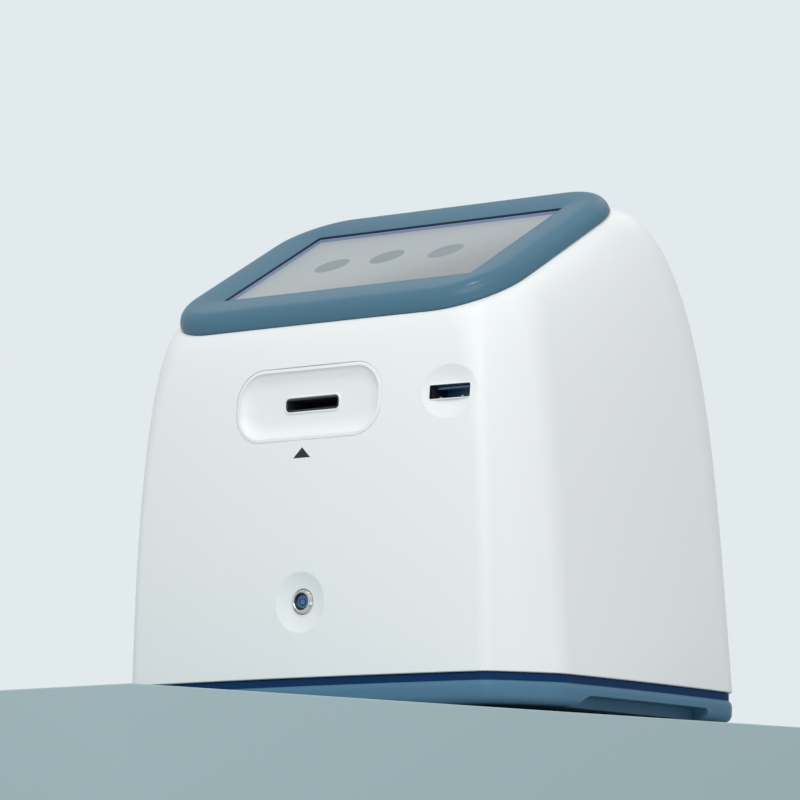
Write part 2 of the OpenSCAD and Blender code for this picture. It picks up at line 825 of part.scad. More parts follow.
module shutter_pin() {
    l = 2 * (ear_x + ear_t);
    color("#b9bec2")
    translate([-l / 2, shutter_y, shutter_z]) rotate([0, 90, 0]) cylinder(d = shutter_pin_d, h = l);
}

// Torsion spring on the pin: four turns side by side and two short legs
module shutter_spring() {
    wire = 0.5;
    r = shutter_pin_d / 2 + wire / 2 + 0.1;
    color("#c9cdd0")
    translate([0, shutter_y, shutter_z]) {
        for (i = [-2:2]) translate([i * wire * 1.6, 0, 0]) rotate([0, 90, 0])
            rotate_extrude($fn = 32) translate([r, 0]) circle(d = wire, $fn = 16);
        translate([0, r, 0]) rotate([0, 90, 0]) cylinder(d = wire, h = wire * 6.8, center = true);
    }
}

// Wide service socket: metal shell, blue tongue and its board
module socket_shell() {
    t = socket_t;
    color("#2c3644")
    on_front(socket_x, socket_face_y + socket_depth, port_z) difference() {
        round_plate(socket_w, socket_h, socket_r, socket_depth);
        translate([0, 0, t])
            round_plate(socket_w - 2 * t, socket_h - 2 * t, socket_r - 0.7 * t, socket_depth);
    }
}

module socket_tongue() {
    t = socket_t;
    color("#3f6f9e")
    on_front(socket_x, socket_face_y + socket_depth - t, port_z) {
        translate([-socket_w / 2 + tongue_side, socket_h / 2 - t - tongue_gap - tongue_t, 0])
            cube([socket_w - 2 * tongue_side, tongue_t, socket_depth - tongue_back]);
        round_plate(socket_w - 2 * t, socket_h - 2 * t, socket_r - 0.7 * t, 4 * t);
    }
}

module socket_board() {
    color("#2e6b45")
    block([socket_board_w, socket_board_d, board_t],
          [socket_x, socket_face_y + 0.6 * socket_depth, port_z - socket_h / 2 - board_t]);
}

// Lit push button: flange and barrel, cap, return spring and nut
module button_body() {
    color("#aeb3b6")
    on_front(0, button_seat_y, button_z) difference() {
        union() {
            rotate_extrude($fn = 64) polygon([[0, 0], [button_flange_d / 2, 0],
                [button_flange_d / 2, 0.5], [button_flange_d / 2 - 1.2, button_flange_t - 0.2],
                [button_flange_d / 2 - 1.5, button_flange_t], [0, button_flange_t]]);
            translate([0, 0, -button_barrel_l]) cylinder(d = button_barrel_d, h = button_barrel_l + cut);
            for (x = [-3, 0, 3]) translate([x - 0.4, -1, -button_barrel_l - 5]) cube([0.8, 2, 6]);
        }
        translate([0, 0, -button_bore]) cylinder(d = button_cap_d + 2 * run_gap, h = through);
    }
}

module button_cap() {
    color("#2f5f9a")
    on_front(0, button_seat_y, button_z) translate([0, 0, -button_cap_l]) difference() {
        rotate_extrude($fn = 64) polygon([[0, 0], [button_cap_d / 2, 0],
            [button_cap_d / 2, button_flange_t + 4.2], [button_cap_d / 2 - 0.5, button_flange_t + 4.7],
            [0, button_flange_t + 4.9]]);
        translate([0, 0, -cut]) cylinder(d = 5, h = 3);
    }
}

module button_spring() {
    color("#c9cdd0")
    on_front(0, button_seat_y, button_z) translate([0, 0, -button_bore]) rotate_extrude($fn = 32)
        for (i = [0:6]) translate([2, 0.45 + i * 0.85]) circle(d = 0.9, $fn = 16);
}

module button_nut() {
    color("#9aa0a4")
    on_front(0, button_pad_y + 2.4, button_z) difference() {
        cylinder(d = 18, h = 2.4, $fn = 6);
        translate([0, 0, -cut]) cylinder(d = button_barrel_d + 0.1, h = 6);
    }
}

// Chassis plate on the base's posts
module chassis_plate() {
    color("#c3c8cb")
    difference() {
        translate([-chassis_w / 2, chassis_front, chassis_z])
            cube([chassis_w, chassis_back - chassis_front, chassis_t]);
        for (x = [-1, 1], y = chassis_post_ys)
            translate([x * chassis_post_x, y, 0]) cylinder(d = m3_hole, h = 60);
        for (x = [-1, 1])
            translate([port_x + x * column_screw_x, column_screw_y, 0]) cylinder(d = m3_hole, h = 60);
        for (i = [-3:3]) block([floor_vent_step / 2, column_foot, 60], [i * floor_vent_step, -22, 0]);
    }
}

// Upright plate that carries the stage, the lamp and the focus drive
module optics_column() {
    top = lamp_z + 12;
    color("#3a3f45")
    difference() {
        union() {
            translate([-column_w / 2, column_y, chassis_top]) cube([column_w, column_t, top - chassis_top]);
            translate([-column_w / 2, column_y, chassis_top]) cube([column_w, column_foot, column_foot_t]);
            for (x = [-1, 1])
                translate([x * (column_w - column_t) / 2 - column_t / 2, column_y + column_t, chassis_top])
                    rotate([90, 0, 90]) linear_extrude(column_t) polygon([[0, 0],
                        [column_foot - column_t, 0], [column_foot - column_t, 6], [0, 70]]);
        }
        for (x = [-1, 1]) translate([x * column_screw_x, column_screw_y, 0]) cylinder(d = m3_hole, h = 60);
        block([26, through, carriage_lift], [0, column_y - cut, motor_top + 14]);
    }
}

// Stage plate with the light's aperture
module slide_stage() {
    color("#8b9094")
    difference() {
        translate([-column_w / 2, stage_front, stage_low])
            cube([column_w, column_y - stage_front, stage_t]);
        translate([0, axis_y, stage_low - cut]) cylinder(d = stage_hole_d, h = stage_t + 2 * cut);
    }
}

module stage_guides() {
    end = 2;
    color("#23262a")
    for (x = [-1, 1]) block([guide_w, column_y - stage_front - 4 * end, guide_h],
                            [x * (channel_w + guide_w) / 2, stage_front + end, channel_z]);
}

// Leaf spring that holds the chamber down
module slide_clip() {
    color("#c9cdd0")
    translate([0, axis_y + 14, channel_z + guide_h]) rotate([90, 0, 0]) linear_extrude(8)
        polygon([[channel_w / 2 - 6, -1.4], [channel_w / 2 - 4.5, -1.9], [channel_w / 2 - 1, 0],
                 [channel_w / 2 + 6, 0], [channel_w / 2 + 6, 0.5], [channel_w / 2 - 1.2, 0.5],
                 [channel_w / 2 - 4.5, -1.4], [channel_w / 2 - 6, -0.9]]);
}

module lamp_arm() {
    color("#3a3f45")
    difference() {
        union() {
            block([lamp_d, column_y - axis_y, lamp_t], [0, axis_y, lamp_z]);
            translate([0, axis_y, lamp_z - lamp_drop]) cylinder(d = lamp_d, h = lamp_drop + lamp_t);
        }
        translate([0, axis_y, lamp_z - lamp_drop - cut]) cylinder(d = condenser_d, h = 2 * lamp_t + cut);
        translate([0, axis_y, lamp_z - lamp_drop - cut]) cylinder(d = condenser_d - 6, h = through);
    }
}

module condenser_lens() {
    color("#cfe0ea")
    translate([0, axis_y, lamp_z - 13]) {
        cylinder(d = condenser_d - 2 * slip, h = 4);
        intersection() {
            translate([0, 0, 4]) cylinder(d = condenser_d - 3, h = 5);
            translate([0, 0, 8.6 - 13]) sphere(r = 13, $fn = 64);
        }
    }
}

module lamp_board() {
    color("#f2f3ee")
    translate([0, axis_y, lamp_z + lamp_t]) {
        cylinder(d = lamp_d - 1, h = board_t);
        translate([0, 0, -board_t]) cylinder(d = 6, h = board_t);
    }
}

module lamp_heatsink() {
    color("#22262b")
    translate([0, axis_y, lamp_z + lamp_t + board_t]) {
        cylinder(d = lamp_d, h = 3);
        for (i = [-3:3]) translate([i * 4 - 0.7, -9, 3]) cube([1.4, 18, 8]);
    }
}

// Carriage that lifts the tube, the objective and the camera
module focus_carriage() {
    color("#6d747a")
    difference() {
        block([plate_w, rod_y + rod_room + lens_room - axis_y, carriage_h],
              [0, axis_y - lens_room, carriage_low]);
        translate([0, axis_y, carriage_low - cut]) cylinder(d = tube_d + 2 * slip, h = carriage_h + 2 * cut);
        for (x = [-1, 1]) translate([x * rod_gap / 2, rod_y, carriage_low - cut])
            cylinder(d = bush_d + 0.04, h = carriage_h + 2 * cut);
        translate([0, rod_y, carriage_low - cut]) cylinder(d = nut_d + 0.04, h = carriage_h + 2 * cut);
    }
}

module guide_bushes() {
    color("#b08a4a")
    for (x = [-1, 1]) translate([x * rod_gap / 2, rod_y, carriage_low])
        tube(bush_d, rod_d + 2 * run_gap, carriage_h);
}

module lead_nut() {
    color("#b08a4a")
    translate([0, rod_y, carriage_low - 3.5]) difference() {
        union() {
            cylinder(d = nut_d, h = 15);
            cylinder(d = 17, h = 3.5);
        }
        translate([0, 0, -cut]) cylinder(d = screw_d + 2 * run_gap, h = 20);
    }
}

module camera_tube() {
    color("#1d2024")
    translate([0, axis_y, tube_low]) tube(tube_d, tube_d - 5, tube_top - tube_low);
}

module objective_lens() {
    h = objective_top - tube_top;
    color("#a9aeb2")
    translate([0, axis_y, tube_top]) rotate_extrude($fn = 64)
        polygon([[0, 0], [objective_d / 2 - 0.8, 0], [objective_d / 2 - 0.8, 2], [objective_d / 2, 2.4],
                 [objective_d / 2, h * 0.62], [objective_d / 2 - 3, h * 0.8],
                 [objective_d / 2 - 4, h * 0.8], [objective_d / 2 - 5, h], [0, h]]);
}

module camera_module() {
    color("#26292e")
    difference() {
        block([2 * lens_room, 2 * lens_room, camera_h], [0, axis_y - lens_room, tube_low - camera_h]);
        translate([0, axis_y, tube_low - 3]) cylinder(d = 12, h = 4);
    }
}

module lead_screw() {
    low = motor_top - 14;
    top = rod_bracket_low + rod_bracket_h + 2;
    color("#c3c8cb")
    translate([0, rod_y, low]) cylinder(d = screw_d, h = top - low);
}

module guide_rods() {
    color("#d3d7da")
    for (x = [-1, 1]) translate([x * rod_gap / 2, rod_y, motor_top + bracket_h])
        cylinder(d = rod_d, h = rod_bracket_low + rod_bracket_h - motor_top - bracket_h);
}

module motor_bracket() {
    color("#3a3f45")
    difference() {
        block([plate_w, column_y - rod_y + motor_size / 2, bracket_h],
              [0, rod_y - motor_size / 2, motor_top]);
        translate([0, rod_y, motor_top - cut]) cylinder(d = boss_d + 2 * slip, h = bracket_h + 2 * cut);
    }
}

module stepper_motor() {
    color("#2a2d31")
    translate([0, rod_y, 0]) difference() {
        union() {
            block([motor_size, motor_size, motor_top - chassis_top - 2 * slip],
                  [0, -motor_size / 2, chassis_top + 2 * slip]);
            translate([0, 0, motor_top - cut]) cylinder(d = boss_d, h = 3 * cut);
        }
        translate([0, 0, motor_top - 15]) cylinder(d = screw_d + 2 * run_gap, h = 40);
    }
}

module rod_bracket() {
    color("#3a3f45")
    difference() {
        block([plate_w, column_y - rod_y + 1.5 * rod_room, rod_bracket_h],
              [0, rod_y - 1.5 * rod_room, rod_bracket_low]);
        for (x = [-1, 1]) translate([x * rod_gap / 2, rod_y, rod_bracket_low - cut])
            cylinder(d = rod_d + 0.04, h = rod_bracket_h + 2 * cut);
        translate([0, rod_y, rod_bracket_low - cut])
            cylinder(d = bearing_d + 0.04, h = rod_bracket_h + 2 * cut);
    }
}

module screw_bearing() {
    color("#c9cdd0")
    translate([0, rod_y, rod_bracket_low]) tube(bearing_d, screw_d + 2 * run_gap, rod_bracket_h);
}

// Electronics
module main_board() {
    color("#2e6b45")
    difference() {
        translate([-64, board_front, board_z]) cube([128, board_back - board_front, board_t]);
        for (x = [-1, 1], y = [board_front + 4, board_back - 4])
            translate([x * 60, y, 0]) cylinder(d = m3_hole, h = 60);
    }
}

module board_standoffs() {
    color("#c3a75a")
    for (x = [-1, 1], y = [board_front + 4, board_back - 4])
        translate([x * 60, y, chassis_top]) {
            cylinder(d = 6, h = board_z - chassis_top);
            cylinder(d = m3, h = board_z - chassis_top + board_t + 1);
        }
}

module network_socket() {
    color("#9aa0a4")
    difference() {
        block([16, 20, 13.5], [-30, rear_pad_y - 20, connector_z]);
        block([11.8, 14, 7], [-30, rear_pad_y - 14 + cut, connector_z + 3.4]);
    }
}

module data_socket() {
    color("#b4b9bc")
    difference() {
        block([13, 18, 12], [0, rear_pad_y - 18, connector_z]);
        block([9, 11, 8.4], [0, rear_pad_y - 11 + cut, connector_z + 1.8]);
    }
}

module power_inlet() {
    d = 10;
    color("#1a1c1f")
    difference() {
        block([14, 18, 11.5], [30, rear_pad_y - 18, connector_z]);
        on_back(30, rear_pad_y - 12, connector_z + 6) difference() {
            cylinder(d = d - 1.8, h = 20);
            cylinder(d = 2.4, h = 11);
        }
    }
}

module rear_panel() {
    color("#3a3f45")
    difference() {
        block([rear_panel_w + 2 * panel_lap, rear_panel_t, rear_panel_h + panel_lap],
              [0, rear_pad_y - rear_panel_t, rear_panel_z - (rear_panel_h + panel_lap) / 2]);
        block([16.6, 20, 14.1], [-30, rear_pad_y - 10, connector_z - 0.3]);
        block([13.6, 20, 12.6], [0, rear_pad_y - 10, connector_z - 0.3]);
        block([14.6, 20, 12.1], [30, rear_pad_y - 10, connector_z - 0.3]);
        for (x = [-1, 1]) on_back(x * (rear_panel_w / 2), rear_pad_y - rear_panel_t - cut, rear_panel_z)
            cylinder(d = m3_hole, h = rear_panel_t + 2 * cut);
    }
}

// Cooling fan
module fan_frame() {
    color("#1a1c1f")
    on_back(0, fan_pad_y - fan_t, fan_z) {
        difference() {
            round_plate(fan_size, fan_size, 4, fan_t);
            translate([0, 0, -cut]) cylinder(d = fan_open, h = fan_t + 2 * cut, $fn = 96);
            for (x = [-1, 1], y = [-1, 1])
                translate([x * fan_hole, y * fan_hole, -cut])
                    cylinder(d = m3_hole, h = fan_t + 2 * cut);
        }
        difference() {
            union() {
                cylinder(d = hub_d, h = 1.6);
                for (a = [0, 120, 240]) rotate(a) translate([0, -1.5, 0]) cube([fan_open / 2 + 1, 3, 1.6]);
            }
            translate([0, 0, -cut]) cylinder(d = 3 + 2 * run_gap, h = 4);
        }
    }
}

module fan_rotor() {
    color("#23262a")
    on_back(0, fan_pad_y - fan_t, fan_z) {
        translate([0, 0, 2.1]) cylinder(d = hub_d, h = fan_t - 2.8);
        translate([0, 0, 0.1]) cylinder(d = 3, h = 3);
        for (i = [0:6]) rotate(i * 360 / 7) translate([8, 0, fan_t / 2 + 0.4]) rotate([35, 0, 0])
            translate([0, -5, -0.6]) cube([fan_open / 2 - 9, 10, 1.2]);
    }
}

// Screws that hold the column, the chassis plate, the rear panel and the fan
module frame_screws() {
    color("#9aa0a4") {
        for (x = [-1, 1])
            translate([port_x + x * column_screw_x, column_screw_y, chassis_top + column_foot_t])
                screw(m3_head, m3_head_h, column_foot_t + chassis_t);
        for (x = [-1, 1], y = chassis_post_ys)
            translate([x * chassis_post_x, y, chassis_top])
                screw(m3_head, m3_head_h, chassis_t + 2 * thread_l);
        for (x = [-1, 1])
            on_front(x * rear_panel_w / 2, rear_pad_y - rear_panel_t, rear_panel_z)
                screw(m3_head, m3_head_h, rear_panel_t + thread_l);
        for (x = [-1, 1], y = [-1, 1])
            on_front(x * fan_hole, fan_pad_y - fan_t, fan_z + y * fan_hole)
                screw(m3_head, m3_head_h, fan_t + thread_l);
    }
}

housing_shell();
shadow_gap_ring();
base_tray();
rubber_feet();
base_screws();
screen_bezel();
screen_gasket();
touch_glass();
display_panel();
display_bracket();
bezel_screws();
at_port() port_plate();
at_port() port_liner();
at_port() port_screws();
at_port() shutter_flap();
at_port() shutter_pin();
at_port() shutter_spring();
socket_shell();
socket_tongue();
socket_board();
at_port() button_body();
at_port() button_cap();
at_port() button_spring();
at_port() button_nut();
chassis_plate();
at_port() optics_column();
at_port() slide_stage();
at_port() stage_guides();
at_port() slide_clip();
at_port() lamp_arm();
at_port() condenser_lens();
at_port() lamp_board();
at_port() lamp_heatsink();
at_port() focus_carriage();
at_port() guide_bushes();
at_port() lead_nut();
at_port() camera_tube();
at_port() objective_lens();
at_port() camera_module();
at_port() lead_screw();
at_port() guide_rods();
at_port() motor_bracket();
at_port() stepper_motor();
at_port() rod_bracket();
at_port() screw_bearing();
main_board();
board_standoffs();
network_socket();
data_socket();
power_inlet();
rear_panel();
fan_frame();
fan_rotor();
frame_screws();
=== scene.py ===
"""Looks of the bench-top cell counter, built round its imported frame.

Sizes below are in millimetres, as in the part's source. Meshes are in metres.
+Z is up, the front faces -Y, and the table is at Z = 0.
"""

import json
from math import copysign, cos, hypot, pi, radians, sin, sqrt, tan

import bmesh
import bpy
from bpy.props import FloatProperty, FloatVectorProperty, PointerProperty
from mathutils import Matrix, Vector
from mathutils.bvhtree import BVHTree
from mathutils.interpolate import poly_3d_calc


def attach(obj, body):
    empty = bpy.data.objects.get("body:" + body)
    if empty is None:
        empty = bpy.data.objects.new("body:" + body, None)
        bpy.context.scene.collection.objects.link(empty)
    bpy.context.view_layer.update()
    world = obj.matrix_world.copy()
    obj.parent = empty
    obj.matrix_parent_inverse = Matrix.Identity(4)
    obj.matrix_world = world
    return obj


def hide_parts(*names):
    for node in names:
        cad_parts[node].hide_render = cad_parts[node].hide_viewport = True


bl_info = {
    "name": "Cell Counter Looks",
    "version": (1, 0, 0),
    "blender": (4, 5, 0),
    "location": "View3D > Sidebar > Cell Counter",
    "description": "Builds the visible pieces of a bench-top cell counter and its studio",
    "category": "Object",
}

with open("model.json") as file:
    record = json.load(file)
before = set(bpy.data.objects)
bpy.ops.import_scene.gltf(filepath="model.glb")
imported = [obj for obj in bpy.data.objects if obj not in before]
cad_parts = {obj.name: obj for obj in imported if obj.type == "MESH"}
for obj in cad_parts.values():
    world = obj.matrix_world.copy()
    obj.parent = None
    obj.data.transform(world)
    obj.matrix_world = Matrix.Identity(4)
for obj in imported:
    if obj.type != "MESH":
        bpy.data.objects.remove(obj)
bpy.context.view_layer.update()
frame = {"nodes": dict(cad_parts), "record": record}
NODES = frame["nodes"]
MM = 0.001

# Housing, as in the part's source
HALF_W, FRONT_Y, BACK_Y, SHELL_Z, WALL = 133.0, -104.0, 104.0, 19.0, 2.6
FRONT_SWEEP, BACK_SWEEP, SIDE_BOW, CORNER_BOW = 6.0, 3.0, 2.0, 0.8
CORNER_W, CORNER_D, FRONT_TURN, SIDE_TURN, BACK_TURN = 23.0, 33.0, 11.0, 22.0, 21.0
FRONT_RISE, SIDE_RISE, BACK_RISE, SHOULDER = (0.0, 2.33), (0.39, 3.8), (0.11, 2.9), 2.5
N_FRONT, N_TURN, N_CORNER, N_SIDE, N_BACK_CORNER, N_BACK = 12, 10, 25, 21, 14, 12
N_LEVEL, N_LEVEL_INSIDE = 40, 14
LIFT = 200.0
OUTSIDE, FAR = 150.0, 400.0
POST_R, BOSS_H, WEB_END, PILOT_R, HEAD_R, FOOT_PEG_R = 5.0, 34.0, 130.5, 1.6, 3.1, 2.6
POST_XY = [(x, y) for x in (-117.0, 117.0) for y in (-38.0, 68.0)]
PLATE_POST_XY = [(x, y) for x in (-50.0, 50.0) for y in (-50.0, 72.0)]
FOOT_XY = [(x, y) for x in (-96.0, 96.0) for y in (-66.0, 76.0)]

# Screen
SCREEN_W, SCREEN_H, SCREEN_Z, SCREEN_FRONT = 156.0, 92.4, 241.0, 28.0
SIDE_BORDER, TOP_BORDER, LOW_BORDER, FRAME_R, FRAME_T = 27.0, 27.0, 30.6, 37.0, 8.0
FRAME_ROLL, FRAME_CROWN, FRAME_EDGE, LIP_T, FRAME_OVERHANG = 8.0, 1.8, 0.9, 1.4, 1.0
FRAME_W = SCREEN_W + 2 * SIDE_BORDER
FRAME_H = SCREEN_H + TOP_BORDER + LOW_BORDER
FRAME_MID = (TOP_BORDER - LOW_BORDER) / 2
REBATE, SEAT_PLAY = 5.2, 8.3
TILT = radians(29.4)
DECK_LOW = -FRAME_T - WALL
SCREEN_ICONS = ((-41.3, 2.3), (-8.6, 6.6), (29.9, 4.9))
ICON_R, ICON_BLUR = 10.0, 0.8

# Front fittings
PORT_X, PORT_Z, PORT_W, PORT_H, PORT_R = 2.0, 155.5, 90.0, 37.0, 16.0
SLOT_W, SLOT_H, SLOT_R, PORT_DISH, SEAM, FLANGE_T = 33.0, 6.6, 2.4, 5.0, 0.35, 2.0
PORT_RIM, PORT_SWEEP = 1.7, 9.0
PAD_Y = FRONT_Y + 12
PORT_FACE_Y = FRONT_Y + 3.4
PORT_FLOOR_Y = PORT_FACE_Y + PORT_DISH
SOCKET_X, SOCKET_W, SOCKET_H, SOCKET_DISH_W, SOCKET_DISH_H = 86.0, 22.6, 6.6, 32.8, 26.8
SOCKET_FACE_Y, SOCKET_PAD_Y, TAB_X = FRONT_Y + 9.6, FRONT_Y + 17, 6.5
DISH_DEEP, SOCKET_DEEP = 3.0, 2.6
ARROW_OFF, ARROW_TOP, ARROW_H = -1.5, PORT_Z - 22.3, 5.3
BUTTON_Z, BUTTON_D, BUTTON_CAP_D, BUTTON_DISH_D = 56.5, 12.8, 8.2, 31.6
BUTTON_PAD_Y, BUTTON_SEAT_Y, BUTTON_BARREL_D = FRONT_Y + 6, FRONT_Y + 3.4, 12.0
BUTTON_FACE, SYMBOL_W, SYMBOL_R = 1.2, 0.62, 1.85

# Base
BASE_TOP, FOOT_H, BASE_FLOOR, BASE_RIM, RING_INSET, RING_T = 15.0, 4.0, 2.5, 5.0, 3.4, 2.4
RING_TOP, RING_BAND = 24.0, 1.8
BASE_FOOT_IN, BASE_FOOT_W, BASE_FOOT_RISE = 4.0, 3.7, 4.2
BASE_FLANK_IN, BASE_FLANK_TOP, BASE_TOP_W = 0.2, 11.6, 2.2
GRIP_DEPTH, GRIP_LEN, GRIP_FRONT, GRIP_TOP = 9.0, 120.0, -57.0, 9.6
GRIP_SLOPE, GRIP_FRONT_R, GRIP_BACK_R = 10.8, 14.0, 3.0

# Rear
REAR_PAD_Y, FAN_PAD_Y, REAR_Z, FAN_Z = BACK_Y - 6, BACK_Y - 10, 42.0, 105.0
REAR_W, REAR_H, FAN_SIZE, VENT_W = 96.0, 28.0, 50.0, 2.6

# Blocks behind the front fittings: X and Z of the middle, half width, half height, Y of the back
FRONT_PADS = (
    (PORT_X, PORT_Z, 52.0, 26.5, PAD_Y),
    (SOCKET_X, PORT_Z, 22.0, 17.8, SOCKET_PAD_Y),
    (PORT_X, BUTTON_Z, 19.8, 19.8, BUTTON_PAD_Y),
)
# Blocks behind the rear panel and the fan: half width, lowest and highest Z, Y of the front
REAR_PADS = (
    (58.0, REAR_Z - 17, REAR_Z + 20, REAR_PAD_Y),
    (30.0, FAN_Z - 30, FAN_Z + 30, FAN_PAD_Y),
)

# Studio: lamps by name, place, aim, width and height, in metres
LAMPS = (
    ("key", (0.9, -1.6, 1.15), (0, 0, 0.12), 1.3, 1.1),
    ("low", (1.5, -0.8, -0.35), (0.05, 0, 0.08), 1.0, 0.7),
    ("glint", (0.24, -0.75, 1.6), (0.08, -0.08, 0.2), 0.12, 0.12),
    ("back", (0.2, 1.2, 1.6), (0, 0, 0.2), 1.4, 1.0),
)
# Bench, in millimetres: near corner, far ends of its front edges from there, far edge, thickness
BENCH_CORNER, BENCH_ENDS = (79.5, -323.0), ((-1595.68, 117.92), (437.0, 1849.08))
BENCH_FAR, BENCH_T = 1500.0, 140.0
# Camera: bearing, lift and roll in degrees, place, and focal length as a share of the picture's width
VIEW_TURN = (36.45285, -8.00804, 0.55722)
VIEW_AT = (1227.27, -1681.34, -124.05)
VIEW_FOCUS, SENSOR = 4075.549 / 800, 36

# CAD nodes that a piece stands for or that are dressed already
DONE = set()


def srgb(r, g, b):
    """A colour given as on a screen, 0 to 255, as linear values."""
    shares = (c / 255 for c in (r, g, b))
    return tuple(((c + 0.055) / 1.055) ** 2.4 if c > 0.04 else c / 12.92 for c in shares) + (1.0,)


# Settings

COLOR = dict(subtype="COLOR", size=4, min=0, max=1)


class HousingLook(bpy.types.PropertyGroup):
    """Colours of the moulded housing and base"""

    white: FloatVectorProperty(name="Housing white", description="Colour of the housing",
                               default=srgb(234, 237, 238), **COLOR)
    blue: FloatVectorProperty(name="Frame blue", description="Colour of the frame",
                              default=srgb(77, 115, 136), **COLOR)
    base: FloatVectorProperty(name="Base blue", description="Colour of the base",
                              default=srgb(82, 121, 147), **COLOR)
    navy: FloatVectorProperty(name="Gap navy", description="Colour of the ring in the gap",
                              default=srgb(14, 51, 92), **COLOR)
    edge_round: FloatProperty(name="Edge round", description="Round of the housing's lower edge",
                              unit="LENGTH", min=0.0002, max=0.002, default=0.0008)


class FittingsLook(bpy.types.PropertyGroup):
    """Sizes of the small front fittings"""

    arrow: FloatProperty(name="Arrow width", description="Width of the mark below the port", unit="LENGTH",
                         min=0.004, max=0.02, default=0.0106)
    lip: FloatProperty(name="Slot lip", description="Width of the raised lip round the slot", unit="LENGTH",
                       min=0.0005, max=0.003, default=0.0010)


class StudioLook(bpy.types.PropertyGroup):
    """Light and floor of the studio"""

    key: FloatProperty(name="Key light", description="Power of the large key light", unit="POWER",
                       min=0, max=500, default=16.4)
    glint: FloatProperty(name="Small light", description="Power of the small light on the frame's corner",
                         unit="POWER", min=0, max=100, default=3.8)
    low: FloatProperty(name="Low light", description="Power of the light from low on the right",
                       unit="POWER", min=0, max=100, default=1.2)
    back: FloatProperty(name="Back light", description="Power of the light behind the unit", unit="POWER",
                        min=0, max=500, default=3)
    sky: FloatProperty(name="Surrounding light", description="Strength of the even light from all round",
                       min=0, max=2, default=0.66)
    floor: FloatVectorProperty(name="Floor", description="Colour of the bench",
                               default=srgb(158, 180, 184), **COLOR)


def look(kind):
    return getattr(bpy.context.scene, "counter_" + kind)


# Outlines


def xy(x, y):
    return Vector((x, y))


def quarter(n):
    """Angles of a quarter turn in n steps."""
    return [pi / 2 * i / n for i in range(n + 1)]


def fillet(p, q, s, radius, n):
    """Points of the arc that rounds corner q between p and s."""
    a, b = (p - q).normalized(), (s - q).normalized()
    half = a.angle(b) / 2
    centre = q + (a + b).normalized() * radius / sin(half)
    v = q + a * radius / tan(half) - centre
    return [centre + Matrix.Rotation((pi - 2 * half) * i / n, 2) @ v for i in range(n + 1)]


def bowed(p, q, bow, n):
    d = q - p
    out = xy(d.y, -d.x).normalized()
    return [p + d * i / n + out * bow * 4 * (i / n) * (1 - i / n) for i in range(1, n)]


def both_sides(half):
    return half + [xy(-p.x, p.y) for p in half[-2:0:-1]]


def inset(loop, k):
    n = len(loop)
    out = []
    for i, p in enumerate(loop):
        d = (loop[(i + 1) % n] - loop[i - 1]).normalized()
        out.append(p + k * xy(-d.y, d.x))
    return out


def foot_loop():
    """Lower outline of the housing, seen from above, from the front's middle."""
    front_half = HALF_W - CORNER_W
    corner = xy(front_half, FRONT_Y + FRONT_SWEEP)
    side, rear = corner + xy(CORNER_W, CORNER_D), xy(HALF_W, BACK_Y - BACK_SWEEP)
    a = fillet(xy(front_half / 2, FRONT_Y), corner, side, FRONT_TURN, N_TURN)
    b = fillet(corner, side, xy(HALF_W, BACK_Y), SIDE_TURN, N_TURN)
    c = fillet(side, rear, xy(HALF_W / 2, BACK_Y), BACK_TURN, N_BACK_CORNER)
    front = [xy(x, FRONT_Y + FRONT_SWEEP * (x / front_half) ** 2)
             for x in (a[0].x * i / N_FRONT for i in range(N_FRONT))]
    back = [xy(x, BACK_Y - BACK_SWEEP * (x / HALF_W) ** 2)
            for x in (c[-1].x * i / N_BACK for i in range(N_BACK))]
    return both_sides(front + a + bowed(a[-1], b[0], CORNER_BOW, N_CORNER - 2 * N_TURN) + b
                      + bowed(b[-1], c[0], SIDE_BOW, N_SIDE) + c + back[::-1])


def seat_loop(k):
    """Upper outline of the housing, in the plane of the screen, with the same steps."""
    hw, lo, hi = FRAME_W / 2 - k, FRAME_MID - FRAME_H / 2 + k, FRAME_MID + FRAME_H / 2 - k
    a = fillet(xy(0, lo), xy(hw, lo), xy(hw, 0), FRAME_R - k, N_CORNER)
    c = fillet(xy(hw, 0), xy(hw, hi), xy(0, hi), FRAME_R - k, N_BACK_CORNER)
    front = [a[0].lerp(xy(0, lo), 1 - i / N_FRONT) for i in range(N_FRONT)]
    back = [c[-1].lerp(xy(0, hi), i / N_BACK) for i in range(1, N_BACK + 1)]
    return both_sides(front + a + bowed(a[-1], c[0], 0, N_SIDE) + c + back)


def ease(w):
    c = min(1, max(0, w))
    return c * c * (3 - 2 * c)


def in_space(p, off):
    return Vector((p.x, p.y * cos(TILT) - off * sin(TILT) - SCREEN_FRONT,
                   p.y * sin(TILT) + off * cos(TILT) + SCREEN_Z))


def rises(i, steps):
    """Lean and curve of the wall at step i of the outline."""
    along = min(i, steps - i)
    side = ease((along - N_FRONT) / N_CORNER)
    back = ease((along - N_FRONT - N_CORNER - N_SIDE) / N_BACK_CORNER)
    return [(f * (1 - side) + s * side) * (1 - back) + b * back
            for f, s, b in zip(FRONT_RISE, SIDE_RISE, BACK_RISE)]


def skin_ring(lower, upper, off, t):
    """Ring of the housing's skin at share t of its height."""
    ring = []
    for i, p in enumerate(lower):
        lean, curve = rises(i, len(lower))
        g = lean * t + (1 - lean) * (1 - (1 - t ** curve) ** (1 / SHOULDER))
        top = in_space(upper[i], off)
        x, y = p.x + (top.x - p.x) * g, p.y + (top.y - p.y) * g
        ring.append(Vector((x, y, SHELL_Z + (top.z - SHELL_Z) * t)))
    return ring


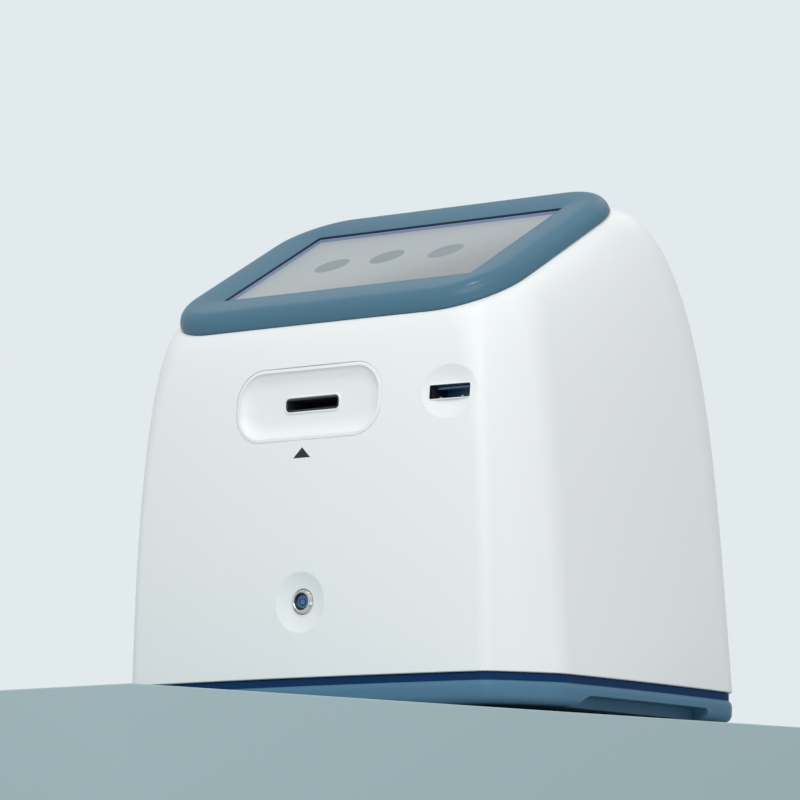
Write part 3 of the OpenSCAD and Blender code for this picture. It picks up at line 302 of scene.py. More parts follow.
def skin_rings(k, off, n, edge=()):
    """Rings from the foot to the seat. edge lists (inset, share of height) of a rounded lower edge."""
    loop, upper = foot_loop(), seat_loop(FRAME_OVERHANG + k)
    rings = [skin_ring(inset(loop, k + more), upper, off, t) for more, t in edge]
    lower = inset(loop, k)
    start = edge[-1][1] + 0.003 if edge else 0
    for j in range(n + 1):
        t = start + (1 - start) * (1 - (1 - j / n) ** 1.8)
        rings.append(skin_ring(lower, upper, off, t))
    return rings


def round_loop(w, h, r, n=12):
    out = []
    for sx, sy, turn in ((1, -1, -90), (1, 1, 0), (-1, 1, 90), (-1, -1, 180)):
        for i in range(n + 1):
            a = radians(turn + 90 * i / n)
            out.append(xy(sx * (w / 2 - r) + r * cos(a), sy * (h / 2 - r) + r * sin(a)))
    return out


def oval(w, h, n=64):
    return [xy(w / 2 * cos(2 * pi * i / n), h / 2 * sin(2 * pi * i / n)) for i in range(n)]


def level_ring(loop, z):
    return [Vector((p.x, p.y, z)) for p in loop]


ON_SCREEN = Matrix.Translation((0, -SCREEN_FRONT, SCREEN_Z)) @ Matrix.Rotation(TILT, 4, "X")


def on_front(x, y, z):
    """Local frame on the front wall: X right, Y up, Z out of the front."""
    return Matrix.Translation((x, y, z)) @ Matrix.Rotation(pi / 2, 4, "X")


def on_back(x, y, z):
    return Matrix.Translation((x, y, z)) @ Matrix.Rotation(-pi / 2, 4, "X")


def stepped(loop, section):
    """Level rings from a section of (inset, height)."""
    return [level_ring(inset(loop, k), z) for k, z in section]


def placed(ring, where):
    return [where @ p for p in ring]


# Modelling


def new_object(name, data):
    obj = bpy.data.objects.new(name, data)
    bpy.context.scene.collection.objects.link(obj)
    return obj


def to_mesh(bm, name):
    """Turns a bmesh in millimetres into a mesh in metres."""
    bmesh.ops.scale(bm, vec=(MM, MM, MM), verts=bm.verts)
    bmesh.ops.recalc_face_normals(bm, faces=bm.faces)
    mesh = bpy.data.meshes.new(name)
    bm.to_mesh(mesh)
    bm.free()
    return mesh


def to_object(bm, name, finish=None):
    """Turns a bmesh into an object at the origin."""
    mesh = to_mesh(bm, name)
    if finish:
        mesh.materials.append(finish_of(finish))
    return new_object(name, mesh)


def verts_of(geom):
    return [v for v in geom if isinstance(v, bmesh.types.BMVert)]


def extruded(bm, rings, closed=False):
    """Adds a loft through rings of equal length: each ring is extruded from the last."""
    step = bm.verts.layers.int.get("step") or bm.verts.layers.int.new("step")
    verts = bmesh.ops.create_circle(bm, segments=len(rings[0]), radius=1, cap_ends=False)["verts"]
    for i, v in enumerate(verts):
        v[step] = i
        v.co = rings[0][i]
    edges = list(dict.fromkeys(e for v in verts for e in v.link_edges))
    first, start = edges, verts
    for ring in rings[1:] + (rings[:1] if closed else []):
        made = bmesh.ops.extrude_edge_only(bm, edges=edges)["geom"]
        new = verts_of(made)
        for v in new:
            v.co = ring[v[step]]
        fresh = set(new)
        edges = [e for e in made if isinstance(e, bmesh.types.BMEdge) and fresh.issuperset(e.verts)]
    if closed:
        bmesh.ops.remove_doubles(bm, verts=start + new, dist=1e-4)
    else:
        bmesh.ops.contextual_create(bm, geom=first)
        bmesh.ops.contextual_create(bm, geom=edges)
    return bm


def loft(name, rings, finish=None, closed=False):
    return to_object(extruded(bmesh.new(), rings, closed), name, finish)


def spun(name, profile, where, finish=None, steps=96):
    """Turns a profile of (radius, height) round the local Z axis. It starts and ends on the axis,
    or is closed when it doesn't."""
    bm = bmesh.new()
    ring = [bm.verts.new((r, 0, z)) for r, z in profile]
    edges = [bm.edges.new(pair) for pair in zip(ring, ring[1:])]
    if profile[0][0] > 0:
        edges.append(bm.edges.new((ring[-1], ring[0])))
    bmesh.ops.spin(bm, geom=ring + edges, axis=(0, 0, 1), angle=2 * pi, steps=steps, use_merge=True)
    bmesh.ops.remove_doubles(bm, verts=bm.verts, dist=1e-4)
    bmesh.ops.transform(bm, matrix=where, verts=bm.verts)
    return to_object(bm, name, finish)


def box(name, lo, hi):
    bm = bmesh.new()
    bmesh.ops.create_cube(bm, size=1)
    size, mid = Vector(hi) - Vector(lo), (Vector(hi) + Vector(lo)) / 2
    bmesh.ops.scale(bm, vec=size, verts=bm.verts)
    bmesh.ops.translate(bm, vec=mid, verts=bm.verts)
    return to_object(bm, name)


def rods(spots, z, radius, height):
    """Upright cylinders that stand at height z."""
    profile = [(0, 0), (radius, 0), (radius, height), (0, height)]
    return [spun("rod", profile, Matrix.Translation((x, y, z)), steps=32) for x, y in spots]


def prism(name, loop, where, low, high):
    return loft(name, [placed(level_ring(loop, z), where) for z in (low, high)])


def carve(obj, *tools, how="DIFFERENCE"):
    """Cuts the tools out of obj, one after another, and removes them."""
    for tool in tools:
        mod = obj.modifiers.new("cut", "BOOLEAN")
        mod.operation, mod.solver, mod.object = how, "EXACT", tool
    settle(obj)
    for tool in tools:
        mesh = tool.data
        bpy.data.objects.remove(tool)
        bpy.data.meshes.remove(mesh)
    return obj


def settle(obj):
    """Applies obj's modifiers to its mesh."""
    graph = bpy.context.evaluated_depsgraph_get()
    mesh = bpy.data.meshes.new_from_object(obj.evaluated_get(graph))
    old = obj.data
    obj.modifiers.clear()
    obj.data = mesh
    mesh.name = obj.name
    bpy.data.meshes.remove(old)


def smooth(obj, angle=32):
    obj.data.shade_smooth()
    obj.data.set_sharp_from_angle(angle=radians(angle))
    return obj


class Skin:
    """Smooth surface that others take their height and shading from."""

    def __init__(self, rings, level=100):
        bm = extruded(bmesh.new(), rings)
        bmesh.ops.delete(bm, geom=[f for f in bm.faces if len(f.verts) > 4], context="FACES_ONLY")
        mesh = to_mesh(bm, "skin_guide")
        self.points = [v.co.copy() for v in mesh.vertices]
        self.normals = [v.normal.copy() for v in mesh.vertices]
        self.faces = [tuple(p.vertices) for p in mesh.polygons]
        bpy.data.meshes.remove(mesh)
        self.tree = BVHTree.FromPolygons(self.points, self.faces)
        self.way = 1 if self.hit(0, level)[1].y < 0 else -1

    def normal(self, co):
        at, _, face, _ = self.tree.find_nearest(co)
        corners = self.faces[face]
        out = Vector()
        for i, w in zip(corners, poly_3d_calc([self.points[i] for i in corners], at)):
            out += self.normals[i] * w
        return out.normalized() * self.way

    def hit(self, x, z):
        """Place and normal of the front wall at (x, z), seen from far in front."""
        return self.tree.ray_cast(Vector((x, -FAR, z)) * MM, Vector((0, 1, 0)))

    def front_y(self, x, z):
        """Y of the front wall at (x, z), in millimetres."""
        return self.hit(x, z)[0].y / MM

    def lay(self, obj):
        """Gives the faces of obj that lie on the skin the skin's own shading."""
        mesh = obj.data
        normals = [Vector(c.vector) for c in mesh.corner_normals]
        for poly in mesh.polygons:
            at, flat, _, _ = self.tree.find_nearest(poly.center, 0.0003)
            if at is None or abs(flat.dot(poly.normal)) < 0.95:
                continue
            for i in poly.loop_indices:
                normals[i] = self.normal(mesh.vertices[mesh.loops[i].vertex_index].co)
        mesh.normals_split_custom_set(normals)
        return obj


def add(obj, body, slot=None, *nodes):
    """Makes obj a piece that rides on a body and stands for CAD nodes."""
    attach(obj, body)
    if nodes:
        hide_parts(*nodes)
        DONE.update(nodes)
    return obj


# Materials


def feed(tree, inputs, values):
    """Gives each of the inputs its value, or links another node's output to it."""
    for key, value in values.items():
        if isinstance(value, bpy.types.NodeSocket):
            tree.links.new(value, inputs[key])
        else:
            inputs[key].default_value = value


def node(tree, kind, values=None, **settings):
    """Adds a shader node, sets it up and feeds its inputs."""
    made = tree.nodes.new("ShaderNode" + kind)
    for key, value in settings.items():
        setattr(made, key, value)
    feed(tree, made.inputs, values or {})
    return made


def math_of(tree, operation, *values):
    return node(tree, "Math", dict(enumerate(values)), operation=operation).outputs[0]


def object_point(tree):
    return node(tree, "TexCoord").outputs["Object"]


def mixed(tree, factor, a, b):
    """Mix of the colours a and b. The node has its colour inputs at 6 and 7, its colour output at 2."""
    return node(tree, "Mix", {0: factor, 6: a, 7: b}, data_type="RGBA").outputs[2]


def surface_group(name, ports, noises, drift, smudge):
    """Group whose colour and roughness swing with a broad noise and whose height is a fine one.

    ports names its inputs, and noises builds the two noises. drift and smudge name the inputs that
    scale the two swings.
    """
    if name in bpy.data.node_groups:
        return bpy.data.node_groups[name]
    tree = bpy.data.node_groups.new(name, "ShaderNodeTree")
    kinds = {"Color": "NodeSocketColor", "Stretch": "NodeSocketVector"}
    for way, sockets in (("INPUT", ports), ("OUTPUT", ("Color", "Roughness", "Height"))):
        for port in sockets:
            tree.interface.new_socket(name=port, in_out=way, socket_type=kinds.get(port, "NodeSocketFloat"))
    given = tree.nodes.new("NodeGroupInput").outputs
    out = tree.nodes.new("NodeGroupOutput").inputs
    broad, fine = noises(tree, given, object_point(tree))
    swing = math_of(tree, "SUBTRACT", broad, 0.5)
    gain = math_of(tree, "MULTIPLY_ADD", swing, given[drift], 1.0)
    shade = node(tree, "VectorMath", {0: given["Color"], "Scale": gain}, operation="SCALE")
    rough = math_of(tree, "MULTIPLY_ADD", swing, given[smudge], given["Roughness"])
    feed(tree, out, {"Color": shade.outputs[0], "Roughness": rough, "Height": fine})
    return tree


def moulded_noises(tree, given, point):
    broad = node(tree, "TexNoise", {"Vector": point, "Scale": 14, "Detail": 3})
    fine = node(tree, "TexNoise", {"Vector": point, "Scale": given["Grain Scale"], "Detail": 2})
    return broad.outputs["Fac"], fine.outputs["Fac"]


def brushed_noises(tree, given, point):
    pulled = node(tree, "VectorMath", {0: point, 1: given["Stretch"]}, operation="MULTIPLY")
    grain = node(tree, "TexNoise", {"Vector": pulled.outputs[0], "Scale": 60, "Detail": 4})
    return grain.outputs["Fac"], grain.outputs["Fac"]


GRAIN_DEPTH, STREAK_DEPTH = 0.0004, 0.0002
LOOK = "_look"


def material(name, build):
    """Material of that name. build(tree, shader inputs) fills it when it is first asked for."""
    mat = bpy.data.materials.get(name + LOOK)
    if mat is None:
        mat = bpy.data.materials.new(name + LOOK)
        mat.use_nodes = True
        build(mat.node_tree, mat.node_tree.nodes["Principled BSDF"].inputs)
    return mat


def surfaced(name, group, values, bump, depth, constants):
    """Material whose colour, roughness and relief come from a surface group."""
    def build(tree, shader):
        made = node(tree, "Group", values, node_tree=group)
        relief = node(tree, "Bump", {"Strength": bump, "Distance": depth, "Height": made.outputs["Height"]})
        feed(tree, shader, {"Base Color": made.outputs["Color"], "Roughness": made.outputs["Roughness"],
                            "Normal": relief.outputs["Normal"], **constants})

    return material(name, build)


def moulded(name, color, roughness=0.3, grain=1500, bump=0.02, drift=0.03, smudge=0.06, coat=0.0,
            specular=0.5, coat_rough=0.1):
    """Moulded plastic, rubber or board, with a slight drift of colour and a fine grain."""
    values = {"Color": color, "Drift": drift, "Grain Scale": grain, "Roughness": roughness, "Smudge": smudge}
    group = surface_group("Moulded surface", values, moulded_noises, "Drift", "Smudge")
    constants = {"Coat Weight": coat, "Coat Roughness": coat_rough, "Specular IOR Level": specular}
    return surfaced(name, group, values, bump, GRAIN_DEPTH, constants)


def metal(name, color, roughness=0.25, streak=0.12, stretch=(1, 30, 30), bump=0.05):
    """Brushed or turned metal, streaked along the axis that is stretched least."""
    values = {"Color": color, "Stretch": stretch, "Roughness": roughness, "Streak": streak}
    group = surface_group("Brushed metal", values, brushed_noises, "Streak", "Streak")
    return surfaced(name, group, values, bump, STREAK_DEPTH, {"Metallic": 1.0})


def dusty(tree, scale, low, high):
    """Roughness between low and high that changes with a noise."""
    dust = node(tree, "TexNoise", {"Vector": object_point(tree), "Scale": scale})
    return node(tree, "MapRange", {"Value": dust.outputs["Fac"], "To Min": low, "To Max": high}).outputs[0]


def clear_glass(tree, shader):
    """Clear glass with a little dust."""
    feed(tree, shader, {"Base Color": srgb(225, 238, 245), "Transmission Weight": 1.0, "IOR": 1.5,
                        "Roughness": dusty(tree, 300, 0.02, 0.08)})


def lit_screen(tree, shader):
    """Grey lit screen with three faint round icons, darker towards its near right corner."""
    to_screen = node(tree, "Mapping", {"Vector": object_point(tree), "Rotation": (TILT, 0, 0),
                                       "Location": Vector((0, -SCREEN_FRONT, SCREEN_Z)) * MM},
                     vector_type="TEXTURE")
    flat = node(tree, "SeparateXYZ", {0: to_screen.outputs[0]}).outputs
    level = node(tree, "CombineXYZ", {"X": flat["X"], "Y": flat["Y"]}).outputs[0]
    icons = 0.0
    for x, y in SCREEN_ICONS:
        away = node(tree, "VectorMath", {0: level, 1: (x * MM, y * MM, 0)}, operation="DISTANCE")
        disc = node(tree, "MapRange", {"Value": away.outputs["Value"], "From Min": ICON_R * MM,
                                       "From Max": (ICON_R - ICON_BLUR) * MM})
        icons = math_of(tree, "MAXIMUM", icons, disc.outputs[0])
    slant = math_of(tree, "MULTIPLY_ADD", flat["Y"], -1.3, flat["X"])
    fall = node(tree, "MapRange", {"Value": slant, "From Min": -0.02, "From Max": 0.13},
                interpolation_type="SMOOTHSTEP")
    tone = mixed(tree, fall.outputs[0], srgb(150, 155, 157), srgb(126, 130, 132))
    face = mixed(tree, icons, tone, srgb(120, 129, 134))
    feed(tree, shader, {"Base Color": face, "Emission Color": face, "Emission Strength": 0.35,
                        "Roughness": dusty(tree, 90, 0.42, 0.52), "Specular IOR Level": 0.15})


# Plastics whose colour is a setting of the add-on
PAINTED = {
    "housing_white": ("housing", "white", dict(roughness=0.36, grain=700, bump=0.012, drift=0.012,
                                               smudge=0.05, specular=0.22, coat=0.03, coat_rough=0.25)),
    "frame_blue": ("housing", "blue", dict(roughness=0.36, grain=1300, bump=0.05, drift=0.10, smudge=0.08,
                                           specular=0.01, coat=0.28, coat_rough=0.22)),
    "base_blue": ("housing", "base", dict(roughness=0.4, grain=1300, bump=0.05, drift=0.08, smudge=0.08,
                                          specular=0.1)),
    "gap_navy": ("housing", "navy", dict(roughness=0.6, grain=900, drift=0.06, specular=0.1)),
    "bench_top": ("studio", "floor", dict(roughness=0.45, grain=300, bump=0.01, drift=0.02)),
}
# Plastics, rubber and boards, with their colours as on a screen
PLASTICS = {
    "foot_rubber": ((44, 45, 47), dict(roughness=0.75, grain=2200, bump=0.2, drift=0.1, specular=0.3)),
    "seal_lilac": ((138, 157, 196), dict(roughness=0.45, bump=0.03, drift=0.05)),
    "panel_grey": ((130, 134, 138), dict(roughness=0.5, grain=900, bump=0.03)),
    "black_plastic": ((40, 44, 48), dict(roughness=0.5, grain=1800, bump=0.12, drift=0.1)),
    "blue_plastic": ((52, 108, 160), dict(roughness=0.25, drift=0.05, coat=0.3)),
    "board_green": ((34, 96, 58), dict(roughness=0.35, grain=2500, bump=0.05, drift=0.12)),
    "black_anodised": ((40, 43, 48), dict(roughness=0.42, grain=3000, bump=0.08, drift=0.1)),
    "white_board": ((236, 237, 232), dict(roughness=0.4, grain=2500, bump=0.04)),
    "ink_black": ((22, 24, 27), dict(roughness=0.55, grain=1800, drift=0.05)),
    # Near-black inner wall of the frame's window: painted shade of the recess
    "frame_lip_dark": ((16, 24, 40), dict(roughness=0.5, bump=0.03)),
    # Dark navy for the walls inside the socket's mouth: painted shade of the opening
    "socket_mouth_dark": ((20, 30, 44), dict(roughness=0.4)),
    "cap_rim_dark": ((20, 30, 56), dict(roughness=0.3)),
    "symbol_dark": ((12, 20, 40), dict(roughness=0.4)),
}
METALS = {
    "screw_steel": ((170, 172, 174), dict(roughness=0.3)),
    "bright_metal": ((200, 202, 204), dict(roughness=0.28)),
    "chrome_metal": ((205, 204, 200), dict(roughness=0.12, streak=0.05, stretch=(30, 1, 30), bump=0.02)),
    "bronze": ((182, 138, 84), dict(roughness=0.32)),
    "gold_brass": ((200, 172, 104), dict(roughness=0.3)),
    "machined_aluminium": ((188, 191, 194), dict(roughness=0.36, streak=0.2, stretch=(40, 1, 40))),
}
GLASSES = {"screen_glass": lit_screen, "clear_glass": clear_glass}


def finish_of(name):
    """Material of that name: a slot of the record, or a finish of a new piece's own."""
    if name in GLASSES:
        return material(name, GLASSES[name])
    if name in METALS:
        color, values = METALS[name]
        return metal(name, srgb(*color), **values)
    if name in PAINTED:
        kind, setting, values = PAINTED[name]
        return moulded(name, tuple(getattr(look(kind), setting)), **values)
    color, values = PLASTICS[name]
    return moulded(name, srgb(*color), **values)


def dress_nodes(names):
    """Gives CAD nodes the finish of their slot."""
    slots = {part["node"]: part["material_slot"] for part in frame["record"]["subparts"]}
    for name in names:
        obj, mat = NODES[name], finish_of(slots[name])
        if not obj.material_slots:
            obj.data.materials.append(mat)
        for slot in obj.material_slots:
            slot.material = mat
    DONE.update(names)


def tint(obj, name, inside, where=Matrix()):
    """Gives obj's faces a second finish where inside(middle of the face, in a local frame) holds."""
    obj.data.materials.append(finish_of(name))
    into = where.inverted()
    for poly in obj.data.polygons:
        if inside(into @ (poly.center / MM)):
            poly.material_index = 1


# Pieces


def dish_shares(reach):
    """Shares of a dish's radius at which its cutter has rings, from the middle to beyond the rim."""
    return [0.03 + reach * i / 20 for i in range(21)]


def socket_dish_y(x, z):
    """Y of the socket's dish, which follows the curved wall and is deepest at the socket."""
    share = (2 * (x - SOCKET_X) / SOCKET_DISH_W) ** 2 + (2 * (z - PORT_Z) / SOCKET_DISH_H) ** 2
    return SKIN.front_y(x, z) + SOCKET_DEEP * (1 - share)


def socket_dish_cutter():
    rings = []
    for q in dish_shares(1.22):
        spots = [(SOCKET_X + q * p.x, PORT_Z + q * p.y) for p in oval(SOCKET_DISH_W, SOCKET_DISH_H)]
        rings.append([Vector((x, socket_dish_y(x, z), z)) for x, z in spots])
    return loft("cut", rings + [[Vector((p.x, FRONT_Y - 40, p.z)) for p in rings[-1]]])


def button_dish_cutter():
    """Cutter of the button's round dish, whose depth grows as the square of the way in."""
    where = on_front(PORT_X, FRONT_Y, BUTTON_Z)
    rings = [level_ring(oval(q * BUTTON_DISH_D, q * BUTTON_DISH_D), DISH_DEEP * (q * q - 1))
             for q in dish_shares(1.42)]
    return loft("cut", [placed(ring, where) for ring in rings])


class COUNTER_OT_housing(bpy.types.Operator):
    """Build the moulded housing with its dishes, openings and louvres"""

    bl_idname = "counter.housing"
    bl_label = "Housing"

    def execute(self, context):
        r = look("housing").edge_round / MM
        edge = [(r * (1 - sin(a)), r * (1 - cos(a)) / LIFT) for a in (0, 0.5, 1.0)]
        shell = loft("housing_body", skin_rings(0, -FRAME_T, N_LEVEL, edge), "housing_white")
        mouth = level_ring(inset(foot_loop(), WALL), SHELL_Z - 2)
        cavity = loft("cavity", [mouth] + skin_rings(WALL, DECK_LOW, N_LEVEL_INSIDE))
        carve(cavity, *self.pads())
        carve(shell, cavity)
        carve(shell, *self.bosses(), how="UNION")
        carve(shell, *self.cuts())
        SKIN.lay(smooth(shell))
        add(shell, "frame", "housing_white", "housing_shell")
        self.socket_rim()
        self.socket_tabs()
        return {"FINISHED"}

    @staticmethod
    def pads():
        """Blocks that the cavity leaves standing behind the fittings."""
        fronts = [box("pad", (x - w, -OUTSIDE, z - h), (x + w, y, z + h)) for x, z, w, h, y in FRONT_PADS]
        return fronts + [box("pad", (-w, y, low), (w, OUTSIDE, high)) for w, low, high, y in REAR_PADS]

    @staticmethod
    def bosses():
        """Screw bosses above the base's posts, each with a web to the side wall."""
        bosses = rods(POST_XY, RING_TOP, POST_R, BOSS_H)
        for x, y in POST_XY:
            near, far = sorted((x, copysign(WEB_END, x)))
            bosses.append(box("web", (near, y - 1, RING_TOP), (far, y + 1, RING_TOP + BOSS_H)))
        return bosses

    @staticmethod
    def cuts():
        """Cutters of the dishes, the openings, the screw holes and the louvres."""
        port_hole = round_loop(PORT_W + 2 * SEAM, PORT_H + 2 * SEAM, PORT_R + SEAM, 24)
        socket_hole = round_loop(SOCKET_W + 0.2, SOCKET_H + 0.2, 0.9, 6)
        rear_hole = round_loop(REAR_W - 8, REAR_H - 4, 3, 8)
        screen_hole = round_loop(SCREEN_W + SEAT_PLAY, SCREEN_H + SEAT_PLAY, 2, 4)
        barrel, flange = BUTTON_BARREL_D / 2 + 0.1, BUTTON_D / 2 + 0.15
        button_hole = [(0, -40), (barrel, -40), (barrel, 0), (flange, 0), (flange, 30), (0, 30)]
        cuts = [
            prism("cut", port_hole, on_front(PORT_X, PAD_Y, PORT_Z), -1, 40),
            socket_dish_cutter(),
            prism("cut", socket_hole, on_front(SOCKET_X, SOCKET_FACE_Y, PORT_Z), -20, 20),
            button_dish_cutter(),
            spun("cut", button_hole, on_front(PORT_X, BUTTON_SEAT_Y, BUTTON_Z), steps=64),
            prism("cut", rear_hole, on_back(0, REAR_PAD_Y, REAR_Z), -1, 30),
            prism("cut", screen_hole, ON_SCREEN, DECK_LOW - 1, DECK_LOW + 5),
        ]
        cuts += rods(POST_XY, 0, PILOT_R, RING_TOP + 14)
        for i in range(-4, 5):
            x = i * 2 * VENT_W
            reach = sqrt(((FAN_SIZE - 4) / 2) ** 2 - x * x) - 2
            louvre = round_loop(VENT_W, 2 * reach, VENT_W / 2 - 0.02, 6)
            cuts.append(prism("cut", louvre, on_back(x, FAN_PAD_Y, FAN_Z), -1, 30))
        return cuts

    @staticmethod
    def socket_rim():
        """Thin raised rim where the dish meets the socket, with painted shade on its faces inside the
        socket.
        """
        def ring(more, proud):
            """Ring that stands proud of the dish, or lies behind the socket's face if proud is None."""
            out = []
            for p in round_loop(SOCKET_W + 2 * more, SOCKET_H + 2 * more, 0.8 + more, 6):
                x, z = SOCKET_X + p.x, PORT_Z + p.y
                y = SOCKET_FACE_Y + 1 if proud is None else socket_dish_y(x, z) - proud
                out.append(Vector((x, y, z)))
            return out

        def in_mouth(c):
            return abs(c.x - SOCKET_X) < SOCKET_W / 2 + 0.1 and abs(c.z - PORT_Z) < SOCKET_H / 2 + 0.1

        section = ((0.05, None), (0.05, 0.1), (0.12, 0.26), (0.3, 0.34), (0.5, 0.28), (0.68, 0.1),
                   (0.75, -0.3), (0.6, None))
        rim = loft("socket_rim", [ring(*r) for r in section], "housing_white", closed=True)
        # Faces inside the socket's mouth get painted shade
        tint(smooth(rim, 50), "socket_mouth_dark", in_mouth)
        add(rim, "frame", "housing_white")

    @staticmethod
    def socket_tabs():
        """Two small metal tabs on the floor of the socket."""
        bm = bmesh.new()
        for side in (-1, 1):
            x, z = SOCKET_X + side * TAB_X, PORT_Z - SOCKET_H / 2 + 0.3
            tab = [(x - 0.9, z), (x + 0.9, z), (x + 0.6, z + 0.55), (x - 0.6, z + 0.55)]
            extruded(bm, [[Vector((a, SOCKET_FACE_Y + deep, b)) for a, b in tab] for deep in (3, 0.2)])
        add(to_object(bm, "socket_tabs", "bright_metal"), "frame", "bright_metal")


class COUNTER_OT_port_plate(bpy.types.Operator):
    """Build the dished port plate with the lip round its slot, and the mark below it"""

    bl_idname = "counter.port_plate"
    bl_label = "Port plate"

    def execute(self, context):
        lip = look("fittings").lip / MM
        back = PAD_Y + FLANGE_T

        def ring(w, h, r, y):
            """Ring at a depth, which is a number or a function of the place on the plate."""
            return [Vector((PORT_X + p.x, y(p) if callable(y) else y, PORT_Z + p.y))
                    for p in round_loop(w, h, r, 20)]

        def slot(more, y):
            return ring(SLOT_W + 0.2 + 2 * more, SLOT_H + 0.2 + 2 * more, SLOT_R + more, y)

        def plate(k, y):
            return ring(PORT_W - 2 * k, PORT_H - 2 * k, PORT_R - k, y)

        def sunk(less):
            return lambda p: self.wall_y(p) + less

        rings = [slot(0, back)]
        for more, proud in ((0, 0.2), (0.12, 0.5), (0.4, 0.68), (lip * 0.6, 0.7), (lip * 0.85, 0.58),
                            (lip, 0.3), (lip + 0.15, 0)):
            rings.append(slot(more, PORT_FLOOR_Y - proud))
        for a in quarter(14):
            rings.append(plate(PORT_RIM + PORT_SWEEP * (1 - sin(a)), self.dish(cos(a))))
        for k, less in ((PORT_RIM - 0.3, 0.02), (PORT_RIM - 0.6, -0.005), (0.5, 0), (0.12, 0.16), (0, 0.55),
                        (0.02 - SEAM, 0.6)):
            rings.append(plate(k, sunk(less)))
        rings.append(plate(0.02 - SEAM, PAD_Y))
        rings += [ring(PORT_W + 12, PORT_H + 6, PORT_R + 3, y) for y in (PAD_Y, back)]
        obj = loft("port_plate_face", rings, "housing_white", closed=True)
        add(smooth(obj, 50), "frame", "housing_white", "port_plate")
        self.arrow()
        return {"FINISHED"}

    @staticmethod
    def wall_y(p):
        return SKIN.front_y(PORT_X + p.x, PORT_Z + p.y)

    @classmethod
    def dish(cls, share):
        """Depth of the dish at a share of the way from the wall's skin to the level floor."""
        def depth(p):
            wall = cls.wall_y(p)
            return wall + (PORT_FLOOR_Y - wall) * share

        return depth

    @staticmethod
    def arrow():
        """Printed triangle that points at the slot, laid on the wall."""
        w = look("fittings").arrow / MM
        corners = ((-w / 2, ARROW_TOP - ARROW_H), (w / 2, ARROW_TOP - ARROW_H), (0, ARROW_TOP))
        bm = bmesh.new()
        face = bm.faces.new([bm.verts.new((PORT_X + ARROW_OFF + x, 0, z)) for x, z in corners])
        front = verts_of(bmesh.ops.extrude_face_region(bm, geom=[face])["geom"])
        for v in bm.verts:
            v.co.y = SKIN.front_y(v.co.x, v.co.z) + (-0.04 if v in front else 0.3)
        add(to_object(bm, "port_arrow", "ink_black"), "frame", "black_plastic")


class COUNTER_OT_screen(bpy.types.Operator):
    """Build the crowned screen frame and dress the seal, glass and panel"""

    bl_idname = "counter.screen"
    bl_label = "Screen and frame"

    def execute(self, context):
        def outer(k, z):
            loop = round_loop(FRAME_W - 2 * k, FRAME_H - 2 * k, FRAME_R - k, 14)
            return [Vector((p.x, p.y + FRAME_MID, z)) for p in loop]

        def window(more, z, r=1.5):
            return level_ring(round_loop(SCREEN_W + 2 * more, SCREEN_H + 2 * more, r, 14), z)

        def on_lip(c):
            return (-LIP_T - 0.01 < c.z < -0.24 and abs(c.x) < SCREEN_W / 2 + 0.3
                    and abs(c.y) < SCREEN_H / 2 + 0.3)

        rise = FRAME_T - FRAME_EDGE + FRAME_CROWN
        rings = [outer(0.9, -FRAME_T), outer(0.3, FRAME_EDGE / 2 - FRAME_T)]
        for a in quarter(14):
            rings.append(outer(FRAME_ROLL * (1 - cos(a)), FRAME_EDGE - FRAME_T + rise * sin(a)))
        crest, mouth = outer(FRAME_ROLL, FRAME_CROWN), window(0.45, 0)
        for i in range(1, 11):
            f = i / 10
            rings.append([Vector((a.x + (b.x - a.x) * f, a.y + (b.y - a.y) * f, FRAME_CROWN * (1 - f * f)))
                          for a, b in zip(crest, mouth)])
        rings += [window(0.2, -0.08), window(0.05, -0.22), window(0, -0.45), window(0, -LIP_T),
                  window(REBATE, -LIP_T, 2.2), window(REBATE, -FRAME_T, 2.2)]
        obj = loft("screen_frame", [placed(r, ON_SCREEN) for r in rings], "frame_blue", closed=True)
        # The window's inner lip wall gets a near-black finish: painted shade of the recess
        tint(obj, "frame_lip_dark", on_lip, ON_SCREEN)
        add(smooth(obj, 40), "frame", "frame_blue", "screen_bezel")
        dress_nodes(["screen_gasket", "touch_glass", "display_panel", "display_bracket", "bezel_screws"])
        return {"FINISHED"}


